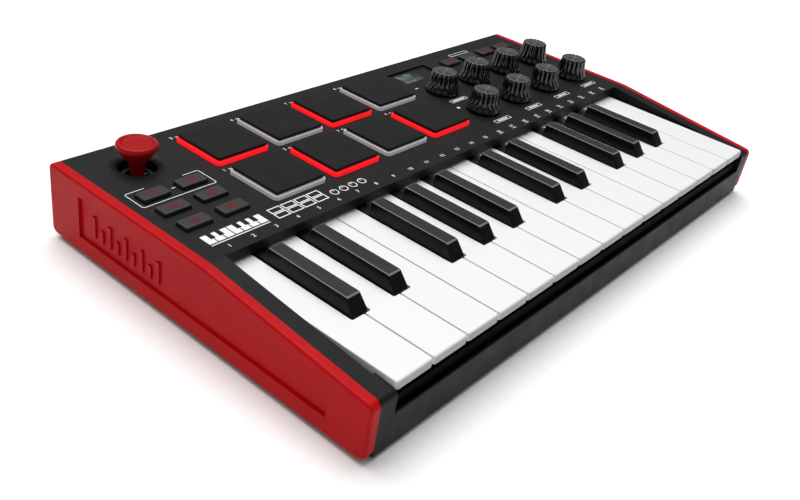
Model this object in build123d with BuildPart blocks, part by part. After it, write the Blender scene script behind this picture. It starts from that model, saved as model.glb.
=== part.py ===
"""Twenty-five key mini controller: two-octave keybed, eight pads, eight knobs, buttons and thumbstick.

X runs along the keys (right is +X), Y runs from the player to the back, Z is up.
The origin is on the table, under the middle of the case.  Sizes are millimetres.
"""
import os

from build123d import *

# ---------------------------------------------------------------- driving dimensions
# Case
case_width = 318.0          # over the end cheeks
case_depth = 177.0
panel_height = 34.5         # flat rear panel above the table
front_height = 26.0         # cheek and arm height at the front
slope_start = -6.0          # Y where the flat top turns down
wall = 2.0                  # moulded wall of both covers
cheek_thickness = 4.4
cover_setback = 1.0         # the black cover stops this far inside the cheeks at the back
lip_height = 16.5           # top of the front wall below the keys
arm_block_length = 10.5     # thicker front end of each arm
arm_block_step = 1.2        # how far it stands in towards the keys
arm_nose = 2.5              # rounding of the arms' front ends
fit_gap = 0.3               # general clearance between pieces that do not move together
running_clearance = 0.05    # between a pin and its bore
underside = 2.0             # lowest edge of the covers and cheeks above the table

# Keys
white_count = 15
white_pitch = 19.5
white_gap = 0.6
end_gap = 1.35              # between the row of keys and each arm
key_drop = 5.8              # white keys' top below the panel
white_front_height = 3.5
white_skin = 2.0
key_front_setback = 1.15    # white keys' front behind the front of the case
black_positions = {1: -1.5, 2: 1.5, 4: -2.2, 5: 0.0, 6: 2.2, 8: -1.5, 9: 1.5, 11: -2.2, 12: 0.0, 13: 2.2}
black_setback = 32.55       # foot of a black key's front behind the white keys' front
black_front_lean = 4.3      # how far that front leans back
black_back_gap = 5.1        # between the black keys' rear ends and the panel's front wall
black_height = 6.0          # above the white keys
black_base_width = 8.4
black_top_width = 7.0
black_clearance = 0.7
opening_setback = 0.8       # panel's front wall behind the start of the slope
valance_drop = 4.5          # height of that wall
pivot_setback = 10.2        # pivot rod behind that wall
pivot_drop = 4.7            # pivot rod below the white keys' top
pivot_radius = 1.5
tail_reach = 4.5            # keys' tails end this far behind the rod
keybed_drop = 14.7          # keybed below the white keys' top
keybed_thickness = 2.0

# Pads
pad_size = 27.6
pad_gap_x = 7.0             # between neighbouring pads
pad_gap_y = 7.6
pad_corner = (-104.9, 13.1) # front left corner of the block of pads
pad_stand = 3.5             # above the panel
pad_cap_height = 1.9
pad_ring_width = 0.8        # light ring outside the cap, each side
pad_radius = 1.2
pad_travel = 0.6

# Buttons
button_size = (12.8, 6.8)
button_stand = 1.7
button_radius = 0.8
left_columns = (-142.1, -123.7)
left_rows = (43.3, 30.7, 18.1)
right_columns = (85.3, 102.8, 120.3, 137.8)
right_row = 69.9

# Knobs
knob_columns = (48.2, 77.9, 107.6, 137.3)
knob_rows = (47.0, 19.6)
knob_base_radius = 8.3
knob_top_radius = 7.3
knob_stand = 11.5
knob_lift = 0.6             # gap between the knob and the panel
flute_count = 16
flute_radius = 0.95
shaft_radius = 3.0

# Thumbstick
stick_centre = (-131.4, 68.0)
stick_pivot_drop = 6.5      # pivot below the panel
stick_stand = 10.0
stick_cap_radius = 8.7
stick_neck_radius = 3.5
dish_radius = 11.4
dish_hole_radius = 8.0
dish_depth = 1.7
gimbal_inner = 5.2
gimbal_outer = 7.2
gimbal_height = 3.0
trunnion_radius = 1.0
trunnion_length = 2.2
stick_base_drop = 11.0      # base board's underside below the pivot

# Display
display_centre = (52.8, 69.8)
display_pocket = (32.8, 14.4)
display_pocket_depth = 1.0
glass_centre = (54.0, 70.0)
glass_size = (26.0, 10.0)

# Sockets in the back wall
usb_x = -70.0
usb_opening = (8.5, 7.8)
usb_shell = (12.0, 10.8)
usb_depth = 16.0
usb_cavity = 11.0
usb_tongue = (5.6, 3.2, 6.4)
jack_x = -102.0
jack_bore_radius = 3.25
jack_depth = 30.0
jack_collar_radius = 4.6
socket_z = 15.0
socket_board = (58.0, 36.0)

# Boards, feet and screws
board_thickness = 1.6
board_drop = 6.5            # main board below the panel
board_front_gap = 2.5       # behind the keys' tails
board_back_gap = 9.1
floor_bottom = 2.4
floor_thickness = 2.0
foot_radius = 7.0
foot_inset = 21.0           # from each end of the case
foot_front_inset = 16.5
foot_back_inset = 18.5
screw_radius = 1.2
screw_length = 10.0
screw_head_radius = 2.6
screw_head_height = 1.2
boss_radius = 2.8
boss_inset = 4.6            # from the cover's ends
solder_gap = 0.1            # keeps parts on a board separate solids

# ---------------------------------------------------------------- derived dimensions
cheek_half = case_width / 2
cover_half = cheek_half - cheek_thickness
front = -case_depth / 2
back = case_depth / 2
cover_back = back - cover_setback
keys_left = -white_count * white_pitch / 2
arm_inner = end_gap - keys_left
arm_width = cover_half - arm_inner
block_inner = arm_inner - arm_block_step
block_back = front + arm_block_length
panel_under = panel_height - wall
floor_top = floor_bottom + floor_thickness
opening_back = slope_start + opening_setback
valance_bottom = panel_height - valance_drop
white_top = panel_height - key_drop
black_top = white_top + black_height
key_bottom = white_top - white_front_height
key_front = front + key_front_setback
black_front = key_front + black_setback
black_top_front = black_front + black_front_lean
black_back = opening_back - black_back_gap
pivot_y = opening_back + pivot_setback
pivot_z = white_top - pivot_drop
tail_end = pivot_y + tail_reach
keybed_top = white_top - keybed_drop
keybed_under = keybed_top - keybed_thickness
bed_half = block_inner - fit_gap
pad_top = panel_height + pad_stand
button_top = panel_height + button_stand
knob_top = panel_height + knob_stand
stick_top = panel_height + stick_stand
stick_pivot_z = panel_height - stick_pivot_drop
stick_base_z = stick_pivot_z - stick_base_drop
board_top = panel_height - board_drop
board_bottom = board_top - board_thickness
board_front = tail_end + board_front_gap
board_back = cover_back - board_back_gap
socket_board_top = socket_z - usb_shell[1] / 2 - solder_gap
socket_board_centre = ((usb_x + jack_x) / 2, cover_back - wall - 2.0 - socket_board[1] / 2)
foot_places = [
    (side * (cheek_half - foot_inset), y)
    for y in (front + foot_front_inset, back - foot_back_inset)
    for side in (-1, 1)
]
boss_places = [
    (side * (cover_half - boss_inset), y) for side in (-1, 1) for y in (cover_back - 7.5, 8.0, front + 28.5)
]
boss_places += [(-39.3, cover_back - 5.6), (75.0, cover_back - 5.6)]
board_half = cover_half - boss_inset - boss_radius - 1.0
post_places = [(-112.0, 22.0), (-112.0, 40.0), (-39.0, 44.5), (32.0, 44.5), (92.4, 33.0), (92.4, 60.0)]
rest_places = [(x, y) for y in (-40.0, -8.0) for x in (16.6 - bed_half, 0.0, bed_half - 16.6)]
stick_post_places = [(stick_centre[0] + side * 7.0, stick_centre[1]) for side in (-1, 1)]
socket_post_places = [
    (socket_board_centre[0] + side * (socket_board[0] / 2 - 4.0), socket_board_centre[1] - 12.0)
    for side in (-1, 1)
]


def slope_height(y):
    """Height of the cover's top at a given Y: flat at the back, straight down to the front."""
    fall = (panel_height - front_height) / (slope_start - front)
    return panel_height - fall * max(0.0, slope_start - y)


def side_outline(y_front, y_back, z_low, drop):
    """Closed side view of the case, with its top lowered by drop."""
    return [
        (y_front, z_low),
        (y_front, slope_height(y_front) - drop),
        (slope_start, panel_height - drop),
        (y_back, panel_height - drop),
        (y_back, z_low),
    ]


def black_centre(gap_number):
    return keys_left + gap_number * white_pitch + black_positions[gap_number]


def grid(columns, rows):
    return [(x, y) for y in rows for x in columns]


pad_places = [
    (
        pad_corner[0] + pad_size / 2 + column * (pad_size + pad_gap_x),
        pad_corner[1] + pad_size / 2 + row * (pad_size + pad_gap_y),
    )
    for row in range(2)
    for column in range(4)
]
button_places = grid(left_columns, left_rows) + grid(right_columns, (right_row,))
knob_places = grid(knob_columns, knob_rows)


def write(piece, name):
    piece.part.label = name
    export_step(piece.part, f"parts/{name}.step")


os.makedirs("parts", exist_ok=True)

# ---------------------------------------------------------------- top cover
pad_hole = pad_size + 2 * (pad_ring_width + fit_gap)
button_hole = [length + 2 * fit_gap for length in button_size]
bushing_radius = shaft_radius + 0.5

with BuildPart() as top_cover:
    with BuildSketch(Plane.YZ.offset(-cover_half)) as cover_side:
        with BuildLine():
            Polyline(side_outline(front, cover_back, underside, 0.0), close=True)
        make_face()
        # in the sketch X is the case's Y and Y is its height
        fillet(cover_side.vertices().group_by(Axis.X)[0].sort_by(Axis.Y)[-1], radius=arm_nose)
    extrude(amount=2 * cover_half)
    # round the long rear edge before hollowing
    rear_top = top_cover.edges().filter_by(Axis.X).group_by(Axis.Y)[-1].sort_by(Axis.Z)[-1]
    fillet(rear_top, radius=1.2)
    # rear chamber, open below
    with BuildSketch(Plane.XY.offset(underside)):
        with Locations((0, (cover_back + opening_back) / 2)):
            Rectangle(2 * (cover_half - wall), cover_back - opening_back - 2 * wall)
    extrude(amount=panel_under - underside, mode=Mode.SUBTRACT)
    # opening for the keys, passage under the panel's front wall and the low front wall
    with BuildSketch(Plane.XY.offset(underside)):
        with Locations((0, (block_back + opening_back) / 2)):
            Rectangle(2 * arm_inner, opening_back - block_back)
        with Locations((0, (front + wall + block_back) / 2)):
            Rectangle(2 * block_inner, block_back - front - wall)
    extrude(amount=panel_height, mode=Mode.SUBTRACT)
    with BuildSketch(Plane.XY.offset(underside)):
        with Locations((0, opening_back + wall / 2)):
            Rectangle(2 * arm_inner, wall)
    extrude(amount=valance_bottom - underside, mode=Mode.SUBTRACT)
    with BuildSketch(Plane.XY.offset(lip_height)):
        with Locations((0, front + wall / 2)):
            Rectangle(2 * block_inner, wall)
    extrude(amount=panel_height, mode=Mode.SUBTRACT)
    # hollow arms, open below
    for side in (-1, 1):
        inner_wall = side * (arm_inner + wall) if side > 0 else -(cover_half - wall)
        with BuildSketch(Plane.YZ.offset(inner_wall)):
            with BuildLine():
                Polyline(side_outline(front + wall, opening_back + wall, underside, wall), close=True)
            make_face()
        extrude(amount=arm_width - 2 * wall, mode=Mode.SUBTRACT)
    # holes for pads, buttons and knob bushings
    with BuildSketch(Plane.XY.offset(panel_under)):
        with Locations(pad_places):
            RectangleRounded(pad_hole, pad_hole, pad_radius + pad_ring_width + fit_gap)
        with Locations(button_places):
            RectangleRounded(button_hole[0], button_hole[1], button_radius + fit_gap)
        with Locations(knob_places):
            Circle(bushing_radius + fit_gap)
        with Locations(glass_centre):
            RectangleRounded(glass_size[0], glass_size[1], 0.6)
    extrude(amount=wall, mode=Mode.SUBTRACT)
    # sunk bed of the display
    with BuildSketch(Plane.XY.offset(panel_height - display_pocket_depth)):
        with Locations(display_centre):
            RectangleRounded(display_pocket[0], display_pocket[1], 1.0)
    extrude(amount=display_pocket_depth, mode=Mode.SUBTRACT)
    # thumbstick dish: a collar below the panel, hollowed by a curved funnel
    with BuildSketch(Plane.XY.offset(panel_under)):
        with Locations(stick_centre):
            Circle(dish_radius + wall)
    extrude(amount=-dish_depth)
    with BuildSketch(Plane.XZ.offset(-stick_centre[1])):
        with BuildLine():
            rim = (stick_centre[0] + dish_radius, panel_height)
            throat = (stick_centre[0] + dish_hole_radius, panel_height - dish_depth)
            TangentArc(rim, throat, tangent=(-1, -0.02))
            Line(throat, (throat[0], panel_under - dish_depth))
            Line((throat[0], panel_under - dish_depth), (stick_centre[0], panel_under - dish_depth))
            Line((stick_centre[0], panel_under - dish_depth), (stick_centre[0], panel_height))
            Line((stick_centre[0], panel_height), rim)
        make_face()
    revolve(axis=Axis((stick_centre[0], stick_centre[1], 0), (0, 0, 1)), mode=Mode.SUBTRACT)
    # level seat for the bottom cover
    with BuildSketch(Plane.XY.offset(underside)):
        with Locations((0, (front + cover_back) / 2)):
            Rectangle(2 * (cover_half - wall), cover_back - front - 2 * wall)
    extrude(amount=floor_top - underside, mode=Mode.SUBTRACT)
    # screw bosses
    for x, y in boss_places:
        with BuildSketch(Plane.XY.offset(floor_top)):
            with Locations((x, y)):
                Circle(boss_radius)
        extrude(amount=slope_height(y) - wall / 2 - floor_top)
    with BuildSketch(Plane.XY.offset(floor_top)):
        with Locations(boss_places):
            Circle(screw_radius + running_clearance)
    extrude(amount=screw_length + 2.0, mode=Mode.SUBTRACT)
    # socket openings in the back wall
    with BuildSketch(Plane.XZ.offset(-cover_back)):
        with Locations((usb_x, socket_z)):
            Rectangle(usb_shell[0] + 2 * fit_gap, usb_shell[1] + 2 * fit_gap)
        with Locations((jack_x, socket_z)):
            Circle(jack_collar_radius + fit_gap)
    extrude(amount=wall, mode=Mode.SUBTRACT)
    # soften the visible edges round the keys
    lip_edges = top_cover.edges().filter_by(Axis.X).filter_by_position(Axis.Z, lip_height, lip_height)
    fillet(lip_edges, radius=0.6)
    valance_edges = (
        top_cover.edges().filter_by(Axis.X).filter_by_position(Axis.Y, opening_back, opening_back)
    )
    fillet(valance_edges.sort_by(Axis.Z)[-1], radius=0.4)
write(top_cover, "top_cover")

# ---------------------------------------------------------------- bottom cover
post_radius = 2.5
rest_radius = 3.0
label_bed = (70.0, 34.0, 0.3)   # width, depth and how far it is sunk

with BuildPart() as bottom_cover:
    floor_width = 2 * (cover_half - wall - fit_gap)
    floor_front = front + wall + fit_gap
    floor_back = cover_back - wall - fit_gap
    with BuildSketch(Plane.XY.offset(floor_bottom)):
        with Locations((0, (floor_front + floor_back) / 2)):
            Rectangle(floor_width, floor_back - floor_front)
    extrude(amount=floor_thickness)
    # posts under the keybed and under the main board
    with BuildSketch(Plane.XY.offset(floor_top)):
        with Locations(rest_places):
            Circle(rest_radius)
    extrude(amount=keybed_under - floor_top)
    with BuildSketch(Plane.XY.offset(floor_top)):
        with Locations(post_places):
            Circle(post_radius)
    extrude(amount=board_bottom - floor_top)
    # posts under the thumbstick's base and the socket board
    with BuildSketch(Plane.XY.offset(floor_top)):
        with Locations(stick_post_places):
            Circle(post_radius)
    extrude(amount=stick_base_z - floor_top)
    with BuildSketch(Plane.XY.offset(floor_top)):
        with Locations(socket_post_places):
            Circle(post_radius)
    extrude(amount=socket_board_top - board_thickness - floor_top)
    # screw holes with sunk heads, and a shallow blank label bed below
    with BuildSketch(Plane.XY.offset(floor_bottom)):
        with Locations(boss_places):
            Circle(screw_radius + fit_gap)
    extrude(amount=floor_thickness, mode=Mode.SUBTRACT)
    with BuildSketch(Plane.XY.offset(floor_bottom)):
        with Locations(boss_places):
            Circle(screw_head_radius + fit_gap)
    extrude(amount=screw_head_height, mode=Mode.SUBTRACT)
    with BuildSketch(Plane.XY.offset(floor_bottom)):
        with Locations((0, 30.0)):
            RectangleRounded(label_bed[0], label_bed[1], 2.0)
    extrude(amount=label_bed[2], mode=Mode.SUBTRACT)
write(bottom_cover, "bottom_cover")

# ---------------------------------------------------------------- end cheeks
recess_border = 6.6
recess_back = back - 20.1
recess_front = front + 18.5
recess_floor = 9.3
recess_depth = 1.1
bar_count = 9
bar_pitch = 5.0
bar_width = 2.2
bar_start = recess_back - 49.4

with BuildPart() as end_cheeks:
    for side in (-1, 1):
        inner_face = cover_half if side > 0 else -cover_half
        with BuildSketch(Plane.YZ.offset(inner_face)) as cheek_side:
            with BuildLine():
                Polyline(side_outline(front, back, underside, 0.0), close=True)
            make_face()
            # in the sketch X is the case's Y and Y is its height
            fillet(cheek_side.vertices().group_by(Axis.Y)[0], radius=3.5)
            fillet(cheek_side.vertices().group_by(Axis.Y)[-1].sort_by(Axis.X)[-1], radius=2.5)
            fillet(cheek_side.vertices().group_by(Axis.X)[0].sort_by(Axis.Y)[-1], radius=3.0)
        extrude(amount=side * cheek_thickness)
    outer_faces = end_cheeks.faces().filter_by(Axis.X)
    fillet(outer_faces.sort_by(Axis.X)[0].edges(), radius=1.3)
    fillet(end_cheeks.faces().filter_by(Axis.X).sort_by(Axis.X)[-1].edges(), radius=1.3)
    for side in (-1, 1):
        outer_face = side * cheek_half
        with BuildSketch(Plane.YZ.offset(outer_face)):
            with BuildLine():
                Polyline(
                    (recess_front, recess_floor),
                    (recess_front, slope_height(recess_front) - recess_border),
                    (slope_start, panel_height - recess_border),
                    (recess_back, panel_height - recess_border),
                    (recess_back, recess_floor),
                    close=True,
                )
            make_face()
        extrude(amount=-side * recess_depth, mode=Mode.SUBTRACT)
        # plain raised bars in place of a mark
        for number in range(bar_count):
            tall = number % 2 == 0
            bar_height = 10.0 if tall else 6.0
            with BuildSketch(Plane.YZ.offset(outer_face - side * recess_depth)):
                with Locations((bar_start + number * bar_pitch, 13.0 + bar_height / 2)):
                    RectangleRounded(bar_width, bar_height, 0.6)
            extrude(amount=side * (recess_depth - 0.4))
write(end_cheeks, "end_cheeks")

# ---------------------------------------------------------------- keys
tongue_width = 3.0
tongue_bottom = keybed_top + 3.0
white_tongue_y = key_front + 14.35
black_tongue_y = black_front + 9.8
tongue_length = 6.0
tail_width = 6.0
black_tail_width = 5.0
tail_bottom = pivot_z - 2.5
tail_top = pivot_z + 3.6
stem_end = opening_back + 4.2


def key_edges(index):
    """Left and right sides of a white key at its front, then beside the black keys."""
    left = keys_left + index * white_pitch + white_gap / 2
    right = left + white_pitch - white_gap
    stem_left = left
    stem_right = right
    reach = black_base_width / 2 + black_clearance
    if index in black_positions:
        stem_left = black_centre(index) + reach
    if index + 1 in black_positions:
        stem_right = black_centre(index + 1) - reach
    return left, right, stem_left, stem_right


def key_tail(centre_x, width, start_y):
    """Arm that carries a key back to the pivot rod, with its bore."""
    with BuildSketch(Plane.XY.offset(tail_bottom)) as arm:
        with Locations((centre_x, (start_y + tail_end) / 2)):
            Rectangle(width, tail_end - start_y)
    extrude(arm.sketch, amount=tail_top - tail_bottom)
    with BuildSketch(Plane.YZ.offset(centre_x - width)) as bore:
        with Locations((pivot_y, pivot_z)):
            Circle(pivot_radius + running_clearance)
    extrude(bore.sketch, amount=2 * width, mode=Mode.SUBTRACT)


def key_tongue(centre_x, centre_y, top):
    """Blade that runs between two guide blocks on the keybed."""
    with BuildSketch(Plane.XY.offset(tongue_bottom)) as blade:
        with Locations((centre_x, centre_y)):
            Rectangle(tongue_width, tongue_length)
    extrude(blade.sketch, amount=top - tongue_bottom)


stem_start = black_front - black_clearance
for index in range(white_count):
    left, right, stem_left, stem_right = key_edges(index)
    middle = (left + right) / 2
    with BuildPart() as white_key:
        with BuildSketch(Plane.XY.offset(key_bottom)) as plan:
            with Locations((middle, (key_front + stem_start) / 2)):
                Rectangle(right - left, stem_start - key_front)
            with Locations(((stem_left + stem_right) / 2, (stem_start + stem_end) / 2)):
                Rectangle(stem_right - stem_left, stem_end - stem_start)
            fillet(plan.vertices().group_by(Axis.Y)[0], radius=1.3)
        extrude(amount=white_front_height)
        fillet(white_key.faces().sort_by(Axis.Z)[-1].edges(), radius=0.45)
        # hollow below the playing surface
        with BuildSketch(Plane.XY.offset(key_bottom)):
            with Locations((middle, (key_front + stem_start) / 2)):
                Rectangle(right - left - 2 * wall, stem_start - key_front - 2 * wall)
        extrude(amount=white_front_height - white_skin, mode=Mode.SUBTRACT)
        key_tongue(middle, white_tongue_y, white_top - white_skin)
        key_tail((stem_left + stem_right) / 2, tail_width, stem_end - 12.0)
    write(white_key, f"white_key_{index + 1:02d}")

black_bottom = white_top - 6.7
for number, gap_number in enumerate(black_positions, start=1):
    centre_x = black_centre(gap_number)
    with BuildPart() as black_key:
        with BuildSketch(Plane.XY.offset(black_bottom)):
            with Locations((centre_x, (black_front + black_back) / 2)):
                Rectangle(black_base_width, black_back - black_front)
        extrude(amount=white_top - black_bottom)
        with BuildSketch(Plane.XY.offset(white_top)):
            with Locations((centre_x, (black_front + black_back) / 2)):
                Rectangle(black_base_width, black_back - black_front)
        with BuildSketch(Plane.XY.offset(black_top)):
            with Locations((centre_x, (black_top_front + black_back - 0.6) / 2)):
                Rectangle(black_top_width, black_back - 0.6 - black_top_front)
        loft()
        fillet(black_key.faces().sort_by(Axis.Z)[-1].edges(), radius=0.5)
        with BuildSketch(Plane.XY.offset(black_bottom)):
            with Locations((centre_x, (black_front + black_back) / 2)):
                Rectangle(black_base_width - 3.2, black_back - black_front - 8.0)
        extrude(amount=white_top + 2.0 - black_bottom, mode=Mode.SUBTRACT)
        key_tongue(centre_x, black_tongue_y, white_top + 2.0)
        key_tail(centre_x, black_tail_width, black_back - 4.0)
    write(black_key, f"black_key_{number:02d}")

# ---------------------------------------------------------------- keybed frame
with BuildPart() as keybed_frame:
    bed_width = 2 * bed_half
    bed_front = front + wall + fit_gap
    with BuildSketch(Plane.XY.offset(keybed_under)):
        with Locations((0, (bed_front + tail_end + 1.0) / 2)):
            Rectangle(bed_width, tail_end + 1.0 - bed_front)
    extrude(amount=keybed_thickness)
    # dark apron seen below the key fronts
    with BuildSketch(Plane.XY.offset(keybed_top)):
        with Locations((0, bed_front + 0.8)):
            Rectangle(bed_width, 1.6)
    extrude(amount=7.6)
    # guide blocks either side of each tongue
    block_width = 1.6
    block_offset = tongue_width / 2 + fit_gap + block_width / 2
    guide_places = []
    for index in range(white_count):
        left, right, stem_left, stem_right = key_edges(index)
        for side in (-1, 1):
            guide_places.append(((left + right) / 2 + side * block_offset, white_tongue_y))
    for gap_number in black_positions:
        for side in (-1, 1):
            guide_places.append((black_centre(gap_number) + side * block_offset, black_tongue_y))
    with BuildSketch(Plane.XY.offset(keybed_top)):
        with Locations(guide_places):
            Rectangle(block_width, tongue_length - 1.0)
    extrude(amount=4.6)
    # brackets that hold the pivot rod, where two white keys meet and just outside the end keys' tails
    bracket_thickness = 2.0
    bracket_gap = 1.5
    left, right, stem_left, stem_right = key_edges(0)
    end_tail = (tail_width - stem_left - stem_right) / 2
    end_bracket = end_tail + bracket_gap + bracket_thickness / 2
    bracket_gaps = [gap for gap in range(1, white_count) if gap not in black_positions]
    bracket_places = [(keys_left + gap * white_pitch, pivot_y) for gap in bracket_gaps]
    bracket_places += [(-end_bracket, pivot_y), (end_bracket, pivot_y)]
    with BuildSketch(Plane.XY.offset(keybed_top)):
        with Locations(bracket_places):
            Rectangle(bracket_thickness, 6.0)
    extrude(amount=pivot_z + 2.8 - keybed_top)
    bore_half = end_bracket + bracket_thickness / 2 + 0.2
    with BuildSketch(Plane.YZ.offset(-bore_half)):
        with Locations((pivot_y, pivot_z)):
            Circle(pivot_radius + running_clearance)
    extrude(amount=2 * bore_half, mode=Mode.SUBTRACT)
    # the rod itself
    rod_half = end_bracket + bracket_thickness / 2 - 0.2
    with BuildSketch(Plane.YZ.offset(-rod_half)):
        with Locations((pivot_y, pivot_z)):
            Circle(pivot_radius)
    extrude(amount=2 * rod_half)
write(keybed_frame, "keybed_frame")

# ---------------------------------------------------------------- pads
for number, place in enumerate(pad_places, start=1):
    skirt_size = pad_size + 2 * pad_ring_width
    cap_bottom = pad_top - pad_cap_height
    with BuildPart() as pad:
        with BuildSketch(Plane.XY.offset(cap_bottom)):
            with Locations(place):
                RectangleRounded(pad_size, pad_size, pad_radius)
        extrude(amount=pad_cap_height)
        fillet(pad.faces().sort_by(Axis.Z)[-1].edges(), radius=0.5)
        with BuildSketch(Plane.XY.offset(cap_bottom)):
            with Locations(place):
                RectangleRounded(skirt_size, skirt_size, pad_radius + pad_ring_width)
        extrude(amount=panel_under - fit_gap - cap_bottom)
        with BuildSketch(Plane.XY.offset(panel_under - fit_gap)):
            with Locations(place):
                RectangleRounded(pad_hole + 1.8, pad_hole + 1.8, pad_radius + 2.0)
        extrude(amount=-1.4)
        with BuildSketch(Plane.XY.offset(panel_under - fit_gap - 1.4)):
            with Locations(place):
                Circle(5.0)
        extrude(amount=board_top + pad_travel + fit_gap - (panel_under - fit_gap - 1.4))
    write(pad, f"pad_{number}")

# ---------------------------------------------------------------- buttons
for number, place in enumerate(button_places, start=1):
    with BuildPart() as button:
        with BuildSketch(Plane.XY.offset(panel_under - fit_gap)):
            with Locations(place):
                RectangleRounded(button_size[0], button_size[1], button_radius)
        extrude(amount=button_top - panel_under + fit_gap)
        fillet(button.faces().sort_by(Axis.Z)[-1].edges(), radius=0.4)
        with BuildSketch(Plane.XY.offset(panel_under - fit_gap)):
            with Locations(place):
                Rectangle(button_hole[0] + 1.2, button_hole[1] + 1.2)
        extrude(amount=-1.2)
        with BuildSketch(Plane.XY.offset(panel_under - fit_gap - 1.2)):
            with Locations(place):
                Circle(1.6)
        extrude(amount=-0.6)
    write(button, f"button_{number:02d}")

# ---------------------------------------------------------------- knobs
for number, (x, y) in enumerate(knob_places, start=1):
    knob_bottom = panel_height + knob_lift
    with BuildPart() as knob:
        with BuildSketch(Plane.XZ.offset(-y)):
            with BuildLine():
                Polyline(
                    (x, knob_bottom + 3.0),
                    (x + knob_base_radius - 1.4, knob_bottom + 3.0),
                    (x + knob_base_radius - 1.2, knob_bottom),
                    (x + knob_base_radius, knob_bottom),
                    (x + knob_top_radius, knob_top - 0.8),
                    (x + knob_top_radius - 0.8, knob_top),
                    (x, knob_top),
                    close=True,
                )
            make_face()
        revolve(axis=Axis((x, y, 0), (0, 0, 1)))
        # flutes follow the taper of the side
        lean = (knob_base_radius - knob_top_radius) / (knob_top - knob_bottom)
        for turn in range(flute_count):
            spin = turn * 360.0 / flute_count
            side_plane = Plane(origin=(x, y, knob_bottom), x_dir=(1, 0, 0), z_dir=(0, 0, 1))
            side_plane = side_plane.rotated((0, 0, spin))
            foot = side_plane.from_local_coords((knob_base_radius + 0.25, 0, 1.4))
            aim = side_plane.from_local_coords((knob_base_radius + 0.25 - lean, 0, 2.4)) - foot
            with BuildSketch(Plane(origin=foot, z_dir=aim)):
                Circle(flute_radius)
            extrude(amount=knob_top - knob_bottom + 2.0, mode=Mode.SUBTRACT)
        # shaft that turns in the encoder's bushing
        with BuildSketch(Plane.XY.offset(board_top + 1.2)):
            with Locations((x, y)):
                Circle(shaft_radius)
        extrude(amount=knob_bottom + 3.5 - board_top - 1.2)
    write(knob, f"knob_{number}")

# ---------------------------------------------------------------- thumbstick and gimbal
stick_x, stick_y = stick_centre
stick_plane = Plane.XY.offset(stick_pivot_z)

with BuildPart() as gimbal_ring:
    with BuildSketch(Plane.XY.offset(stick_pivot_z - gimbal_height / 2)):
        with Locations(stick_centre):
            Circle(gimbal_outer)
            Circle(gimbal_inner, mode=Mode.SUBTRACT)
    extrude(amount=gimbal_height)
    # bore across for the stick's cross pin
    with BuildSketch(Plane.YZ.offset(stick_x - gimbal_outer - 1.0)):
        with Locations((stick_y, stick_pivot_z)):
            Circle(trunnion_radius + running_clearance)
    extrude(amount=2 * gimbal_outer + 2.0, mode=Mode.SUBTRACT)
    # trunnions front and back
    for side in (-1, 1):
        start = stick_y + side * (gimbal_outer - 0.4)
        with BuildSketch(Plane.XZ.offset(-start)):
            with Locations((stick_x, stick_pivot_z)):
                Circle(trunnion_radius)
        extrude(amount=-side * (trunnion_length + 0.4))
write(gimbal_ring, "gimbal_ring")

with BuildPart() as thumbstick:
    hub_radius = 3.4
    neck_start = stick_pivot_z + 2.0
    rim_z = stick_top - 2.2
    with BuildSketch(Plane.XZ.offset(-stick_y)):
        with BuildLine():
            Polyline(
                (stick_x, stick_pivot_z - 2.6),
                (stick_x + stick_neck_radius, stick_pivot_z - 2.6),
                (stick_x + stick_neck_radius, panel_height + 1.0),
            )
            TangentArc(
                (stick_x + stick_neck_radius, panel_height + 1.0),
                (stick_x + stick_cap_radius - 1.0, rim_z - 1.2),
                tangent=(0.12, 1),
            )
            ThreePointArc(
                (stick_x + stick_cap_radius - 1.0, rim_z - 1.2),
                (stick_x + stick_cap_radius, rim_z + 0.5),
                (stick_x + stick_cap_radius - 1.4, stick_top),
            )
            Polyline(
                (stick_x + stick_cap_radius - 1.4, stick_top),
                (stick_x + 6.3, stick_top - 0.7),
                (stick_x, stick_top - 0.5),
                (stick_x, stick_pivot_z - 2.6),
            )
        make_face()
    revolve(axis=Axis((stick_x, stick_y, 0), (0, 0, 1)))
    # cross pin that turns in the gimbal ring
    with BuildSketch(Plane.YZ.offset(stick_x - gimbal_outer + 0.3)):
        with Locations((stick_y, stick_pivot_z)):
            Circle(trunnion_radius)
    extrude(amount=2 * (gimbal_outer - 0.3))
write(thumbstick, "thumbstick")

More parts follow.
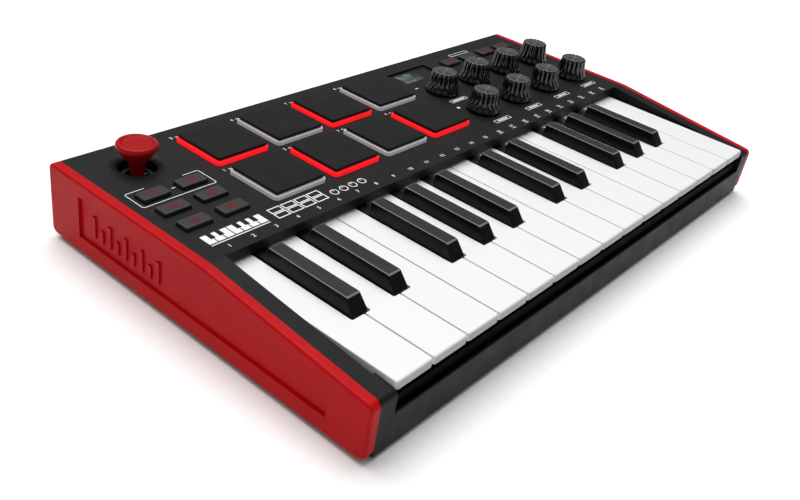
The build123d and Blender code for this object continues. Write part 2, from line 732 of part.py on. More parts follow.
# ---------------------------------------------------------------- boards and what is on them
with BuildPart() as circuit_boards:
    # main board with a cut-out for the thumbstick
    with BuildSketch(Plane.XY.offset(board_bottom)):
        with Locations((0, (board_front + board_back) / 2)):
            Rectangle(2 * board_half, board_back - board_front)
        with Locations((stick_x - 3.0, stick_y - 1.1)):
            Rectangle(40.0, 26.0, mode=Mode.SUBTRACT)
    extrude(amount=board_thickness)
    # encoder body and bushing under each knob
    encoder_size = 12.0
    encoder_bottom = board_top + solder_gap
    with BuildSketch(Plane.XY.offset(encoder_bottom)):
        with Locations(knob_places):
            Rectangle(encoder_size, encoder_size)
    extrude(amount=panel_under - fit_gap - encoder_bottom)
    with BuildSketch(Plane.XY.offset(encoder_bottom)):
        with Locations(knob_places):
            Circle(bushing_radius)
    extrude(amount=panel_height + 0.3 - encoder_bottom)
    with BuildSketch(Plane.XY.offset(encoder_bottom + 0.9)):
        with Locations(knob_places):
            Circle(shaft_radius + running_clearance)
    extrude(amount=panel_height, mode=Mode.SUBTRACT)
    # tact switch under each button
    with BuildSketch(Plane.XY.offset(board_top + solder_gap)):
        with Locations(button_places):
            Rectangle(6.0, 6.0)
    extrude(amount=1.2)
    with BuildSketch(Plane.XY.offset(board_top + solder_gap + 1.2)):
        with Locations(button_places):
            Circle(1.5)
    extrude(amount=0.3)
    # display module with its glass in the panel's window
    with BuildSketch(Plane.XY.offset(board_top + solder_gap)):
        with Locations(glass_centre):
            Rectangle(10.0, 4.0)
    extrude(amount=1.8)
    with BuildSketch(Plane.XY.offset(board_top + 2.0 + solder_gap)):
        with Locations(glass_centre):
            Rectangle(glass_size[0] + 4.0, glass_size[1] + 3.0)
    extrude(amount=panel_under - fit_gap - board_top - 2.0 - 2 * solder_gap)
    with BuildSketch(Plane.XY.offset(panel_under - fit_gap)):
        with Locations(glass_centre):
            RectangleRounded(glass_size[0] - 0.2, glass_size[1] - 0.2, 0.5)
    extrude(amount=panel_height - display_pocket_depth - 0.1 - panel_under + fit_gap)
    # key contact board and its rubber strip
    with BuildSketch(Plane.XY.offset(keybed_top + solder_gap)):
        with Locations((0, -26.0)):
            Rectangle(2 * (block_inner - 4.0), 22.0)
    extrude(amount=1.4)
    with BuildSketch(Plane.XY.offset(keybed_top + 1.4 + 2 * solder_gap)):
        with Locations((0, -26.0)):
            Rectangle(2 * (block_inner - 5.0), 14.0)
    extrude(amount=1.2)
    # socket board
    with BuildSketch(Plane.XY.offset(socket_board_top)):
        with Locations(socket_board_centre):
            Rectangle(socket_board[0], socket_board[1])
    extrude(amount=-board_thickness)
    # usb socket: shell, then its mouth, then the tongue inside
    with BuildSketch(Plane.XZ.offset(-cover_back)):
        with Locations((usb_x, socket_z)):
            Rectangle(usb_shell[0], usb_shell[1])
    extrude(amount=usb_depth)
    with BuildSketch(Plane.XZ.offset(-cover_back)):
        with Locations((usb_x, socket_z)):
            Rectangle(usb_opening[0], usb_opening[1])
    extrude(amount=usb_cavity, mode=Mode.SUBTRACT)
    with BuildSketch(Plane.XZ.offset(-(cover_back - usb_cavity))):
        with Locations((usb_x, socket_z)):
            Rectangle(usb_tongue[0], usb_tongue[1])
    extrude(amount=-usb_tongue[2])
    # pedal jack: body, collar and bore
    with BuildSketch(Plane.XZ.offset(-(cover_back - wall - fit_gap))):
        with Locations((jack_x, socket_z)):
            Rectangle(14.0, 10.4)
    extrude(amount=jack_depth)
    with BuildSketch(Plane.XZ.offset(-cover_back)):
        with Locations((jack_x, socket_z)):
            Circle(jack_collar_radius)
    extrude(amount=wall + 1.0)
    with BuildSketch(Plane.XZ.offset(-cover_back)):
        with Locations((jack_x, socket_z)):
            Circle(jack_bore_radius)
    extrude(amount=jack_depth - 2.0, mode=Mode.SUBTRACT)
    # thumbstick base: board, floor and two uprights that carry the gimbal ring
    upright_near = gimbal_outer + 0.3
    upright_thickness = 2.4
    with BuildSketch(Plane.XY.offset(stick_base_z)):
        with Locations(stick_centre):
            Rectangle(22.0, 24.0)
    extrude(amount=board_thickness)
    with BuildSketch(Plane.XY.offset(stick_base_z + board_thickness + solder_gap)):
        with Locations(stick_centre):
            Rectangle(18.0, 2 * (upright_near + upright_thickness))
    extrude(amount=2.0)
    for side in (-1, 1):
        middle_y = stick_y + side * (upright_near + upright_thickness / 2)
        with BuildSketch(Plane.XY.offset(stick_base_z + board_thickness + solder_gap)):
            with Locations((stick_x, middle_y)):
                Rectangle(5.0, upright_thickness)
        extrude(amount=stick_pivot_z + 2.0 - stick_base_z - board_thickness - solder_gap)
    with BuildSketch(Plane.XZ.offset(-(stick_y + upright_near + upright_thickness))):
        with Locations((stick_x, stick_pivot_z)):
            Circle(trunnion_radius + running_clearance)
    extrude(amount=2 * (upright_near + upright_thickness), mode=Mode.SUBTRACT)
write(circuit_boards, "circuit_boards")

# ---------------------------------------------------------------- feet and screws
with BuildPart() as rubber_feet:
    with BuildSketch(Plane.XY):
        with Locations(foot_places):
            Circle(foot_radius)
    extrude(amount=floor_bottom)
    fillet(rubber_feet.faces().filter_by_position(Axis.Z, 0, 0).edges(), radius=0.5)
write(rubber_feet, "rubber_feet")

with BuildPart() as case_screws:
    with BuildSketch(Plane.XY.offset(floor_bottom)):
        with Locations(boss_places):
            Circle(screw_head_radius)
    extrude(amount=screw_head_height)
    with BuildSketch(Plane.XY.offset(floor_bottom)):
        with Locations(boss_places):
            Circle(screw_radius)
    extrude(amount=screw_length)
    # cross recess in each head
    with BuildSketch(Plane.XY.offset(floor_bottom)):
        with Locations(boss_places):
            Rectangle(2.6, 0.6)
            Rectangle(0.6, 2.6)
    extrude(amount=0.8, mode=Mode.SUBTRACT)
write(case_screws, "case_screws")
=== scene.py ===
"""Finishes and fine pieces for a small keyboard controller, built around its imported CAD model.

Lengths are metres in the CAD frame: X along the keys, Y from the player to the back, Z up.
Constants written as mm(...) are sizes of the real object in millimetres.
"""

import math
from functools import partial

import bmesh
import bpy
import numpy as np
from bpy.props import FloatProperty, FloatVectorProperty, IntProperty, PointerProperty
from mathutils import Matrix, Vector


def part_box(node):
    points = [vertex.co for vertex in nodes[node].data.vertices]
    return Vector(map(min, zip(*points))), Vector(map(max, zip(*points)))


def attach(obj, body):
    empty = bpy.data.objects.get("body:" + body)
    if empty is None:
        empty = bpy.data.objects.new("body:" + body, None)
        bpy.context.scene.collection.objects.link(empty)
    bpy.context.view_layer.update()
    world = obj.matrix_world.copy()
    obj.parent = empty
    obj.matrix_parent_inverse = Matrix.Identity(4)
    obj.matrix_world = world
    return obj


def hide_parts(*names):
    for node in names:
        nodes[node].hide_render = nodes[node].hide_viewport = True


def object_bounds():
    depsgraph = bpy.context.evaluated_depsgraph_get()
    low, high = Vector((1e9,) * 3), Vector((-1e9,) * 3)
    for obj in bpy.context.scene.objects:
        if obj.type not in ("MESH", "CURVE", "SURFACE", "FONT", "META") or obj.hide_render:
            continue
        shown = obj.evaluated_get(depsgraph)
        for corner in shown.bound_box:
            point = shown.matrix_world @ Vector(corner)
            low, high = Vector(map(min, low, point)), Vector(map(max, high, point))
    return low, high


bl_info = {
    "name": "Keyboard Controller Builder",
    "version": (1, 0, 0),
    "blender": (4, 5, 0),
    "location": "View3D > Sidebar > Controller",
    "description": "Builds the caps, knobs, lamps, printing and finishes of a small keyboard controller",
    "category": "Object",
}

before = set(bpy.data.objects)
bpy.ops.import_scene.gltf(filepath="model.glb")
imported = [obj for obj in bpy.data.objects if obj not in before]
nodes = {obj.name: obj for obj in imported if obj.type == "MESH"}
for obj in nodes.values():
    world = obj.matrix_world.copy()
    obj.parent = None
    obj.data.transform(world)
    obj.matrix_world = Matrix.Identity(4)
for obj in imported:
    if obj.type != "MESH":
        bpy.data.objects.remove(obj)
cad_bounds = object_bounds()


def mm(*values):
    """Millimetres to metres, one value or several."""
    return values[0] * 0.001 if len(values) == 1 else tuple(value * 0.001 for value in values)


def linear(code):
    """An sRGB hex colour as the linear red, green, blue and alpha that shaders use."""
    part = np.array([int(code[start : start + 2], 16) for start in (0, 2, 4)]) / 255
    rgb = np.where(part <= 0.04045, part / 12.92, ((part + 0.055) / 1.055) ** 2.4)
    return (*rgb.tolist(), 1.0)


def centre_and_size(node):
    """Middle, full size and highest corner of a CAD node at rest."""
    low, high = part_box(node)
    return (low + high) / 2, high - low, high


def numbered(stem):
    """The frame's node names that start with a stem, in order."""
    return sorted(name for name in nodes if name.startswith(stem))


PANEL_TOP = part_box("top_cover")[1].z
PANEL_UNDER = PANEL_TOP - mm(2.0)


# ---------------------------------------------------------------- settings
def length(name, description, millimetres):
    """A setting that is a length, with its value in millimetres."""
    return FloatProperty(
        name=name, description=description, default=mm(millimetres), unit="LENGTH"
    )


def colour_of(name, description, code):
    """A setting that is a colour, with its value as an sRGB hex code."""
    return FloatVectorProperty(
        name=name, description=description, subtype="COLOR", size=4, default=linear(code)
    )


def strength(name, description, value):
    """A setting that is a light's strength."""
    return FloatProperty(name=name, description=description, default=value, min=0.0)


class CONTROLLER_PG_sizes(bpy.types.PropertyGroup):
    """Sizes of the pieces made here."""

    pad_corner: length("Pad corner", "Corner radius of a pad", 1.2)
    pad_edge: length("Pad edge", "Rounding of a pad's top edge", 0.7)
    pad_crown: length("Pad crown", "How far a pad's middle stands up", 0.12)
    key_nose: length("Key nose", "Rounding of a white key's front edge", 1.3)
    cap_height: length("Cap height", "Black part of a pad above its lamp", 1.9)
    lamp_width: length("Lamp width", "How far the lamp stands out round a pad", 0.8)
    flutes: IntProperty(name="Flutes", description="Grip flutes round a knob", default=16, min=6)
    flute_depth: length("Flute depth", "Depth of a knob's flutes", 0.95)
    ink: length("Ink", "Thickness of the printed legends", 0.035)


class CONTROLLER_PG_colours(bpy.types.PropertyGroup):
    """Colours of the finishes."""

    shell: colour_of("Shell", "Charcoal covers", "111113")
    cheek: colour_of("Cheek", "End cheeks", "B2070F")
    white_key: colour_of("White key", "Natural keys", "E1E1E3")
    black_key: colour_of("Black key", "Sharp keys", "131314")
    pad: colour_of("Pad", "Pad rubber", "141415")
    lit: colour_of("Lit lamp", "Lamp that is on", "FF1A22")
    unlit: colour_of("Unlit lamp", "Lamp that is off", "A6A6A9")
    ink: colour_of("Ink", "Printed legends", "E9E9E9")


class CONTROLLER_PG_studio(bpy.types.PropertyGroup):
    """Camera and lights."""

    eye: FloatVectorProperty(
        name="Eye",
        description="Where the camera stands",
        subtype="TRANSLATION",
        default=mm(-333.11, -209.61, 217.19),
    )
    turn: FloatVectorProperty(
        name="Turn",
        description="Camera turned about Z, then X, then Y, in radians",
        default=(-0.6423, 0.9945, -0.2657),
    )
    lens: FloatProperty(name="Lens", description="Focal length in mm", default=40.81, min=10.0)
    sky: strength("Sky", "Strength of the white ceiling", 0.62)
    softbox: strength("Softbox", "Strength of the large soft light overhead", 2.9)
    spread: FloatProperty(
        name="Spread",
        description="Angle that the soft light fills",
        default=math.radians(60),
        subtype="ANGLE",
    )


# ---------------------------------------------------------------- surfaces
def plan(corners, radii, steps=7):
    """Closed outline walked anticlockwise, with a quarter-round at each right-angled corner.

    A point of the outline moved inwards by d is its arc's centre plus (signed radius - d) times
    the arc's direction; the signed radius is negative at a corner that turns in. Returns those
    three arrays.
    """
    corners = np.asarray(corners, float)
    arriving = corners - np.roll(corners, 1, 0)
    arriving /= np.linalg.norm(arriving, axis=1)[:, None]
    leaving = np.roll(arriving, -1, 0)
    turn = np.sign(arriving[:, 0] * leaving[:, 1] - arriving[:, 1] * leaving[:, 0])
    radii = np.broadcast_to(radii, len(corners)).astype(float)
    centres = corners + radii[:, None] * (leaving - arriving)
    start = np.arctan2(-arriving[:, 0], arriving[:, 1])
    angle = (start[:, None] + turn[:, None] * np.linspace(0, math.pi / 2, steps)).ravel()
    directions = np.stack([np.cos(angle), np.sin(angle)], -1)
    return np.repeat(centres, steps, 0), directions, np.repeat(turn * radii, steps)


def box_plan(centre, width, depth, radius, steps=7):
    """Outline of a rectangle with rounded corners."""
    x, y, a, b = centre[0], centre[1], width / 2, depth / 2
    return plan([(x - a, y - b), (x + a, y - b), (x + a, y + b), (x - a, y + b)], radius, steps)


def stacked(outline, profile):
    """Rows of points: each profile row (inset, height, scale) is the outline moved inwards by
    the inset, shrunk towards its middle by the scale and lifted to the height."""
    centres, directions, reach = outline
    inset, height, scale = np.array(profile, float).T
    flat = centres + (reach - inset[:, None])[..., None] * directions
    middle = (centres.min(0) + centres.max(0)) / 2
    flat = middle + scale[:, None, None] * (flat - middle)
    lift = np.broadcast_to(height[:, None, None], flat.shape[:2] + (1,))
    return np.concatenate([flat, lift], -1)


def soft_edge(inset, top, radius, steps=5):
    """Profile of a quarter-round between a wall and a flat top: inset and height follow cosine
    and sine, and one more row a little further in keeps the flat's shading flat."""
    t = np.linspace(0, math.pi / 2, steps)
    rows = np.stack(
        [inset + radius * (1 - np.cos(t)), top - radius * (1 - np.sin(t)), np.ones(steps)], -1
    )
    return [*rows.tolist(), [inset + radius * 1.1, top, 1.0]]


def tapered(rows):
    """Rows of points from a list of rounded rectangles: each is (left, right, front, back,
    radius, height)."""
    outlines = []
    for left, right, front, back, radius, height in rows:
        middle = ((left + right) / 2, (front + back) / 2)
        centres, directions, reach = box_plan(middle, right - left, back - front, radius)
        flat = centres + reach[:, None] * directions
        outlines.append(np.column_stack([flat, np.full(len(flat), height)]))
    return np.stack(outlines)


def round_over(height, top, radius):
    """How far a wall has moved in at this height where its top edge is rounded: radius minus the
    chord of the circle at that height, and nothing below the rounding."""
    rise = np.clip(np.asarray(height) - (top - radius), 0, radius)
    return radius - np.sqrt(radius**2 - rise**2)


def turned(centre, profile, columns=96, waves=0, sharpness=1.0):
    """Turned surface: each profile row (radius, height, depth) is a circle whose radius is
    reduced by the depth times a row of round-bottomed flutes, a power of the absolute cosine of
    half the wave's angle."""
    radius, height, depth = np.array(profile, float).T
    angle = np.linspace(0, 2 * math.pi, columns, endpoint=False)
    flute = 1 - np.abs(np.sin(angle * waves / 2)) ** sharpness if waves else np.zeros(columns)
    reach = radius[:, None] - depth[:, None] * flute
    x = centre[0] + reach * np.cos(angle)
    y = centre[1] + reach * np.sin(angle)
    return np.stack([x, y, np.broadcast_to(height[:, None], x.shape)], -1)


def stroke(path, width, bottom, top, closed=False):
    """Rectangular section carried along a flat path, with mitred corners: each path point gives
    four points, half the width to either side along the mitre, at the bottom and top heights."""
    path = np.asarray(path, float)
    step = np.roll(path, -1, 0) - path
    step /= np.linalg.norm(step, axis=1)[:, None]
    after = step if closed else np.vstack([step[:-1], step[-2:-1]])
    before = np.roll(step, 1, 0) if closed else np.vstack([after[:1], after[:-1]])
    left_before = np.stack([-before[:, 1], before[:, 0]], -1)
    left_after = np.stack([-after[:, 1], after[:, 0]], -1)
    mitre = left_before + left_after
    mitre *= width / 2 / (mitre * left_before).sum(1)[:, None]
    sides = np.stack([path - mitre, path + mitre, path + mitre, path - mitre], 1)
    lift = np.broadcast_to(
        np.array([bottom, bottom, top, top])[None, :, None], sides.shape[:2] + (1,)
    )
    return skin(np.concatenate([sides, lift], -1), closed)


def skin(rows, closed=False):
    """Quads between neighbouring rows of points, joined round each row. The first and last rows
    are joined when closed, and otherwise each gets a flat cap. Returns the points and a list of
    face arrays."""
    index = np.arange(rows.shape[0] * rows.shape[1]).reshape(rows.shape[:2])
    lower, upper = (index, np.roll(index, -1, 0)) if closed else (index[:-1], index[1:])
    quads = np.stack(
        [lower, np.roll(lower, -1, 1), np.roll(upper, -1, 1), upper], -1
    ).reshape(-1, 4)
    caps = [] if closed else [index[:1, ::-1], index[-1:]]
    return rows.reshape(-1, 3), [quads, *caps]


def build_mesh(name, parts, finishes):
    """One mesh from several (points, faces, finish number) parts, smooth but for edges over 35
    degrees."""
    shifts = np.cumsum([0] + [len(points) for points, _, _ in parts])
    arrays = [
        (block + shift, number)
        for (_, blocks, number), shift in zip(parts, shifts)
        for block in blocks
    ]
    corners = np.concatenate([block.ravel() for block, _ in arrays])
    totals = np.concatenate([np.full(len(block), block.shape[1]) for block, _ in arrays])
    finish = np.concatenate([np.full(len(block), number) for block, number in arrays])
    mesh = bpy.data.meshes.new(name)
    mesh.vertices.add(int(shifts[-1]))
    mesh.vertices.foreach_set("co", np.concatenate([points for points, _, _ in parts]).ravel())
    mesh.loops.add(len(corners))
    mesh.loops.foreach_set("vertex_index", corners.astype(np.int32))
    mesh.polygons.add(len(totals))
    mesh.polygons.foreach_set("loop_start", (np.cumsum(totals) - totals).astype(np.int32))
    mesh.update(calc_edges=True)
    mesh.validate()
    for material in finishes:
        mesh.materials.append(material)
    mesh.polygons.foreach_set("material_index", finish.astype(np.int32))
    mesh.polygons.foreach_set("use_smooth", np.ones(len(totals), bool))
    mesh.set_sharp_from_angle(angle=math.radians(35))
    return mesh


def place(name, mesh, body, replaced=()):
    """Puts a mesh in the scene as a piece that rides on a CAD body and may stand for CAD nodes."""
    piece = bpy.data.objects.new(name, mesh)
    bpy.context.scene.collection.objects.link(piece)
    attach(piece, body)
    if replaced:
        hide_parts(*replaced)


def build(name, parts, finishes, body, replaced=()):
    """Builds a mesh and places it as a piece."""
    place(name, build_mesh(name, parts, finishes), body, replaced)


def flanged(flange, low, edge):
    """Profile of a cap that its flange holds under the panel: the flange from a low height, then
    the wall up to the rows of the edge."""
    under = PANEL_UNDER - mm(0.3)
    return [(-flange, low, 1.0), (-flange, under, 1.0), (0.0, under, 1.0), *edge]


def refinish(node, *finishes):
    """Gives a CAD node's object new materials."""
    slots = nodes[node].data.materials
    slots.clear()
    for material in finishes:
        slots.append(material)


def faces_of(node):
    """A CAD node's mesh, and the X, Y and Z of the middles of its faces."""
    mesh = nodes[node].data
    middle = np.zeros(len(mesh.polygons) * 3, np.float32)
    mesh.polygons.foreach_get("center", middle)
    return mesh, *middle.reshape(-1, 3).T


# ---------------------------------------------------------------- finishes
def add_node(tree, kind, inputs=(), **settings):
    """Adds one shader node, sets its properties, and fills its inputs. A node given as an
    input's value is linked by its first live output. A Mix blends colours unless its settings
    say otherwise."""
    node = tree.nodes.new("ShaderNode" + kind)
    if kind == "Mix":
        settings = {"data_type": "RGBA", **settings}
    for name, value in settings.items():
        setattr(node, name, value)
    for key, value in dict(inputs).items():
        if isinstance(value, bpy.types.Node):
            value = next(socket for socket in value.outputs if socket.enabled)
        if isinstance(value, bpy.types.NodeSocket):
            tree.links.new(value, node.inputs[key])
        else:
            node.inputs[key].default_value = value
    return node


def across(pattern, low, high, start=0.3, stop=0.7):
    """Input values that take a pattern's usual range to another range, held at its ends."""
    return {"Value": pattern, "From Min": start, "From Max": stop, "To Min": low, "To Max": high}


def grit(where, size, detail=2.0, roughness=0.5):
    """Input values for noise whose blotches are about this size across."""
    return {"Vector": where, "Scale": 1 / size, "Detail": detail, "Roughness": roughness}


def shade(colour, amount):
    """A colour made lighter (above 1) or darker (below 1)."""
    return (*(min(1.0, part * amount) for part in tuple(colour)[:3]), 1.0)


def finish(name, recipe, *values, **sockets):
    """A new material. The recipe gets a function that adds nodes to its tree, and the Object
    coordinates of the piece. It returns the values of the surface's sockets."""
    material = bpy.data.materials.new(name)
    material.use_nodes = True
    material.node_tree.nodes.clear()
    add = partial(add_node, material.node_tree)
    surface = recipe(add, add("TexCoord").outputs["Object"], *values, **sockets)
    add("OutputMaterial", {"Surface": add("BsdfPrincipled", surface)})
    return material


def moulded(add, where, colour, rough, size, depth, drift=0.12, spread=0.06, **sockets):
    """Injection-moulded plastic or rubber: its colour drifts a little over centimetres, its
    gloss varies in patches where the melt flowed, and the mould's eroded grain is a fine bump."""
    flow = add("TexNoise", grit(where, mm(34.0), 3.0))
    patches = add("TexNoise", grit(where, mm(9.0), 4.0))
    fine = add("TexNoise", grit(where, mm(size), 2.0, 0.6))
    drifted = add("MapRange", across(flow, 0.0, 1.0))
    pitted = add("MapRange", across(fine, 0.0, 0.35))
    tones = {"Factor": drifted, "A": shade(colour, 1 - drift), "B": shade(colour, 1 + drift)}
    tone = add("Mix", tones)
    flecked = add("Mix", {"Factor": pitted, "A": tone, "B": shade(colour, 0.72)})
    return {
        "Base Color": flecked,
        "Roughness": add("MapRange", across(patches, rough - spread, rough + spread)),
        "Normal": add("Bump", {"Height": fine, "Distance": mm(depth)}),
        **{key.replace("_", " "): value for key, value in sockets.items()},
    }


# moulded plastics and rubbers: roughness, size and depth of the grain in mm, and other sockets
MOULDED = {
    # ABS from a spark-eroded mould: an even satin black that breaks every reflection up, so little
    # of the room shows in it. The real grain is 0.15 mm and is drawn at 0.7 mm so that it shows.
    "abs_charcoal_spark_eroded": dict(
        rough=0.5, size=0.7, depth=0.03, IOR=1.53, Specular_IOR_Level=0.13
    ),
    # pigmented ABS from a lightly polished mould: saturated red with a broad, soft highlight
    "abs_red_fine_satin": dict(
        rough=0.4, size=0.9, depth=0.014, drift=0.05, IOR=1.53, Specular_IOR_Level=0.07
    ),
    # compression-moulded silicone: matt and slightly dusty, with a velvety edge from its open
    # surface
    "silicone_black_matt": dict(
        rough=0.7,
        size=0.8,
        depth=0.02,
        spread=0.05,
        Sheen_Weight=0.02,
        IOR=1.43,
        Specular_IOR_Level=0.16,
    ),
    # silicone sprayed with a black lacquer: duller than the panel, with a fine orange peel
    "silicone_lacquered_black": dict(
        rough=0.5, size=0.9, depth=0.012, IOR=1.45, Specular_IOR_Level=0.45
    ),
    # raised ribs of black ABS, coloured pale grey so that they show as light lines across the knob's top
    "abs_grey_rubbed": dict(rough=0.35, size=0.6, depth=0.01, IOR=1.53),
    # red ABS with a soft-touch coat: a satin skin that rolls the light round the cap
    "abs_red_soft_touch": dict(
        rough=0.36,
        size=0.7,
        depth=0.006,
        drift=0.04,
        IOR=1.5,
        Specular_IOR_Level=0.12,
        Coat_Weight=0.03,
    ),
    # polystyrene straight from the mould, near black with almost no shine, so that it stands as painted
    # shade under the keys; faint flow marks
    "polystyrene_black": dict(rough=0.6, size=1.2, depth=0.012, IOR=1.59, Specular_IOR_Level=0.02),
    # moulded nitrile rubber: dull black-grey with a pebbled surface that hides scuffs
    "nitrile_rubber_pebbled": dict(rough=0.8, size=1.3, depth=0.08, drift=0.2),
    # moulded acetal: waxy black with a soft sheen
    "acetal_black_waxy": dict(rough=0.45, size=1.0, depth=0.01, IOR=1.48, Specular_IOR_Level=0.2),
}


def moulding(name, colour):
    """The finish of this name in the table, in this colour."""
    return finish(name, moulded, colour, **MOULDED[name])


def white_key_abs(add, where, colour):
    """Gloss ABS, polished mould: nearly white with soft reflections, a little dulled by handling. The
    faces turned to the front get painted shade and read grey under the white top. The polish lines that
    run along each key are drawn 0.5 mm apart."""
    along = add("Mapping", {"Vector": where, "Scale": (1.0, 0.04, 1.0)})
    lines = add("TexNoise", grit(along, mm(0.5)))
    touch = add("TexNoise", grit(where, mm(14.0), 3.0))
    handled = add("MapRange", across(touch, 0.0, 1.0))
    polished = add("MapRange", across(lines, 0.0, 0.3))
    tone = add("Mix", {"Factor": handled, "A": colour, "B": shade(colour, 0.985)})
    lined = add("Mix", {"Factor": polished, "A": tone, "B": shade(colour, 0.955)})
    # painted shade: faces turned to the front are mixed towards half the key's colour
    facing = add("NewGeometry").outputs["Normal"]
    back = add("SeparateXYZ", {"Vector": facing}).outputs["Y"]
    is_front = add("MapRange", across(back, 1.0, 0.0, -0.95, -0.45))
    faced = add("Mix", {"Factor": is_front, "A": lined, "B": shade(colour, 0.5)})
    return {
        "Base Color": faced,
        "Roughness": add("MapRange", across(touch, 0.3, 0.38)),
        "Normal": add("Bump", {"Height": lines, "Distance": mm(0.003)}),
        "Subsurface Weight": 0.06,
        "Subsurface Radius": (1.0, 0.95, 0.9),
        "Subsurface Scale": mm(1.2),
        "IOR": 1.53,
        "Specular IOR Level": 0.3,
    }


def black_key_abs(add, where, colour):
    """Black ABS whose top is textured with fine lines along the key and whose sides come polished from
    the mould. The top's colour is paler than the key's, a painted sheen from above, and the sides'
    colour darker, painted shade. Lines of 0.12 mm are drawn 0.45 mm apart."""
    along = add("Mapping", {"Vector": where, "Scale": (1.0, 0.035, 1.0)})
    lines = add("TexNoise", grit(along, mm(0.45), 3.0, 0.65))
    facing = add("NewGeometry").outputs["Normal"]
    upward = add("SeparateXYZ", {"Vector": facing}).outputs["Z"]
    is_top = add("MapRange", across(upward, 0.0, 1.0, 0.93, 0.98))
    is_edge = add("MapRange", across(upward, 0.0, 1.0, 0.64, 0.72))
    line = add("MapRange", across(lines, 0.0, 1.0))
    # painted sheen: the top's lines are drawn paler than the key's own colour
    lined = add("Mix", {"Factor": line, "A": shade(colour, 1.6), "B": shade(colour, 4.6)})
    # painted highlight: the rounded edge between side and top is made far paler than the key, and the
    # sides darker as painted shade
    sides = add("Mix", {"Factor": is_edge, "A": shade(colour, 0.5), "B": shade(colour, 26.0)})
    dull = add("MapRange", across(lines, 0.42, 0.6))
    return {
        "Base Color": add("Mix", {"Factor": is_top, "A": sides, "B": lined}),
        "Roughness": add("Mix", {"Factor": is_top, "A": 0.26, "B": dull}, data_type="FLOAT"),
        "Normal": add("Bump", {"Height": lines, "Distance": mm(0.012), "Strength": 0.6}),
        "IOR": 1.53,
        "Specular IOR Level": 0.16,
    }


def lamp_lit(add, where, colour):
    """Milky silicone light guide lit from below by red diodes: brightest low down and near each
    diode."""
    height = add("SeparateXYZ", {"Vector": where}).outputs["Z"]
    rise = add("MapRange", across(height, 1.0, 0.8, PANEL_TOP, PANEL_TOP + mm(1.6)))
    pools = add("MapRange", across(add("TexNoise", grit(where, mm(12.0), 1.0)), 0.84, 1.0))
    glow = add("Math", {0: rise, 1: pools}, operation="MULTIPLY")
    cloudy = add("TexNoise", grit(where, mm(1.2)))
    milk = {"Factor": pools, "A": linear("50080A"), "B": linear("7A0C10")}
    hot = add("Mix", {"Factor": glow, "A": shade(colour, 0.6), "B": colour})
    # the part below the panel is masked, so that no light leaks into the case
    above = add("MapRange", across(height, 0.0, 1.0, PANEL_TOP - mm(0.5), PANEL_TOP - mm(0.3)))
    return {
        "Base Color": add("Mix", milk),
        "Roughness": add("MapRange", across(cloudy, 0.35, 0.5)),
        "Emission Color": add("Mix", {"Factor": above, "A": linear("000000"), "B": hot}),
        "Emission Strength": 0.95,
        "IOR": 1.43,
        "Specular IOR Level": 0.3,
    }


def lamp_unlit(add, where, colour):
    """The same light guide with its diodes off: a translucent grey with painted shade that goes darker
    towards the panel, and a faint painted glow."""
    height = add("SeparateXYZ", {"Vector": where}).outputs["Z"]
    rise = add("MapRange", across(height, 0.0, 1.0, PANEL_TOP, PANEL_TOP + mm(1.5)))
    cloudy = add("TexNoise", grit(where, mm(3.0), 3.0))
    cloud = add("MapRange", across(cloudy, 0.0, 0.2))
    # painted shade: darker towards the panel
    tone = add("Mix", {"Factor": rise, "A": shade(colour, 0.78), "B": colour})
    return {
        "Base Color": add("Mix", {"Factor": cloud, "A": tone, "B": shade(colour, 0.8)}),
        "Roughness": add("MapRange", across(cloudy, 0.4, 0.55)),
        "Subsurface Weight": 0.1,
        "Subsurface Radius": (1.0, 1.0, 1.0),
        "Subsurface Scale": mm(0.8),
        # painted glow: the guide gives off a faint even white light although its diodes are off
        "Emission Color": linear("D4D4D8"),
        "Emission Strength": 0.22,
        "IOR": 1.43,
        "Specular IOR Level": 0.3,
    }


def legend_glow(add, where, colour, strength):
    """Laser-cut legend in a lacquered keycap, lit from below: its light spreads in the cap and
    looks soft."""
    cloudy = add("TexNoise", grit(where, mm(1.0)))
    cloud = add("MapRange", across(cloudy, 0.0, 1.0))
    dark, full = shade(colour, 0.25), shade(colour, 0.45)
    return {
        "Base Color": add("Mix", {"Factor": cloud, "A": dark, "B": full}),
        "Roughness": add("MapRange", across(cloudy, 0.45, 0.6)),
        "Emission Color": add("Mix", {"Factor": cloud, "A": shade(colour, 0.5), "B": colour}),
        "Emission Strength": strength,
        "Specular IOR Level": 0.2,
    }


def knob_abs(add, where):
    """Black ABS from a polished mould: each flute carries its own thin highlight. The turned
    lines on the top are 0.2 mm apart in the real one and are drawn at 0.6 mm."""
    patches = add("TexNoise", grit(where, mm(4.0), 3.0))
    fine = add("TexNoise", grit(where, mm(0.6)))
    facing = add("NewGeometry").outputs["Normal"]
    upward = add("SeparateXYZ", {"Vector": facing}).outputs["Z"]
    is_top = add("MapRange", across(upward, 0.0, 1.0, 0.55, 0.95))
    gloss = add("MapRange", across(patches, 0.07, 0.15))
    fleck = add("MapRange", across(fine, 0.0, 1.0))
    top = add("Mix", {"Factor": fleck, "A": linear("1E1E20"), "B": linear("333336")})
    return {
        "Base Color": add("Mix", {"Factor": is_top, "A": linear("050506"), "B": top}),
        "Roughness": add("Mix", {"Factor": is_top, "A": gloss, "B": 0.4}, data_type="FLOAT"),
        "Normal": add("Bump", {"Height": fine, "Distance": mm(0.01)}),
        "IOR": 1.53,
        "Specular IOR Level": 0.62,
    }


def printed_ink(add, where, colour):
    """Screen-printed epoxy ink: flat white whose cover thins a little where the mesh lifted."""
    cover = add("TexNoise", grit(where, mm(0.5), 3.0))
    thin = add("MapRange", across(cover, 0.0, 0.5))
    return {
        "Base Color": add("Mix", {"Factor": thin, "A": colour, "B": shade(colour, 0.62)}),
        "Roughness": add("MapRange", across(cover, 0.5, 0.65)),
        "Normal": add("Bump", {"Height": cover, "Distance": mm(0.01)}),
    }


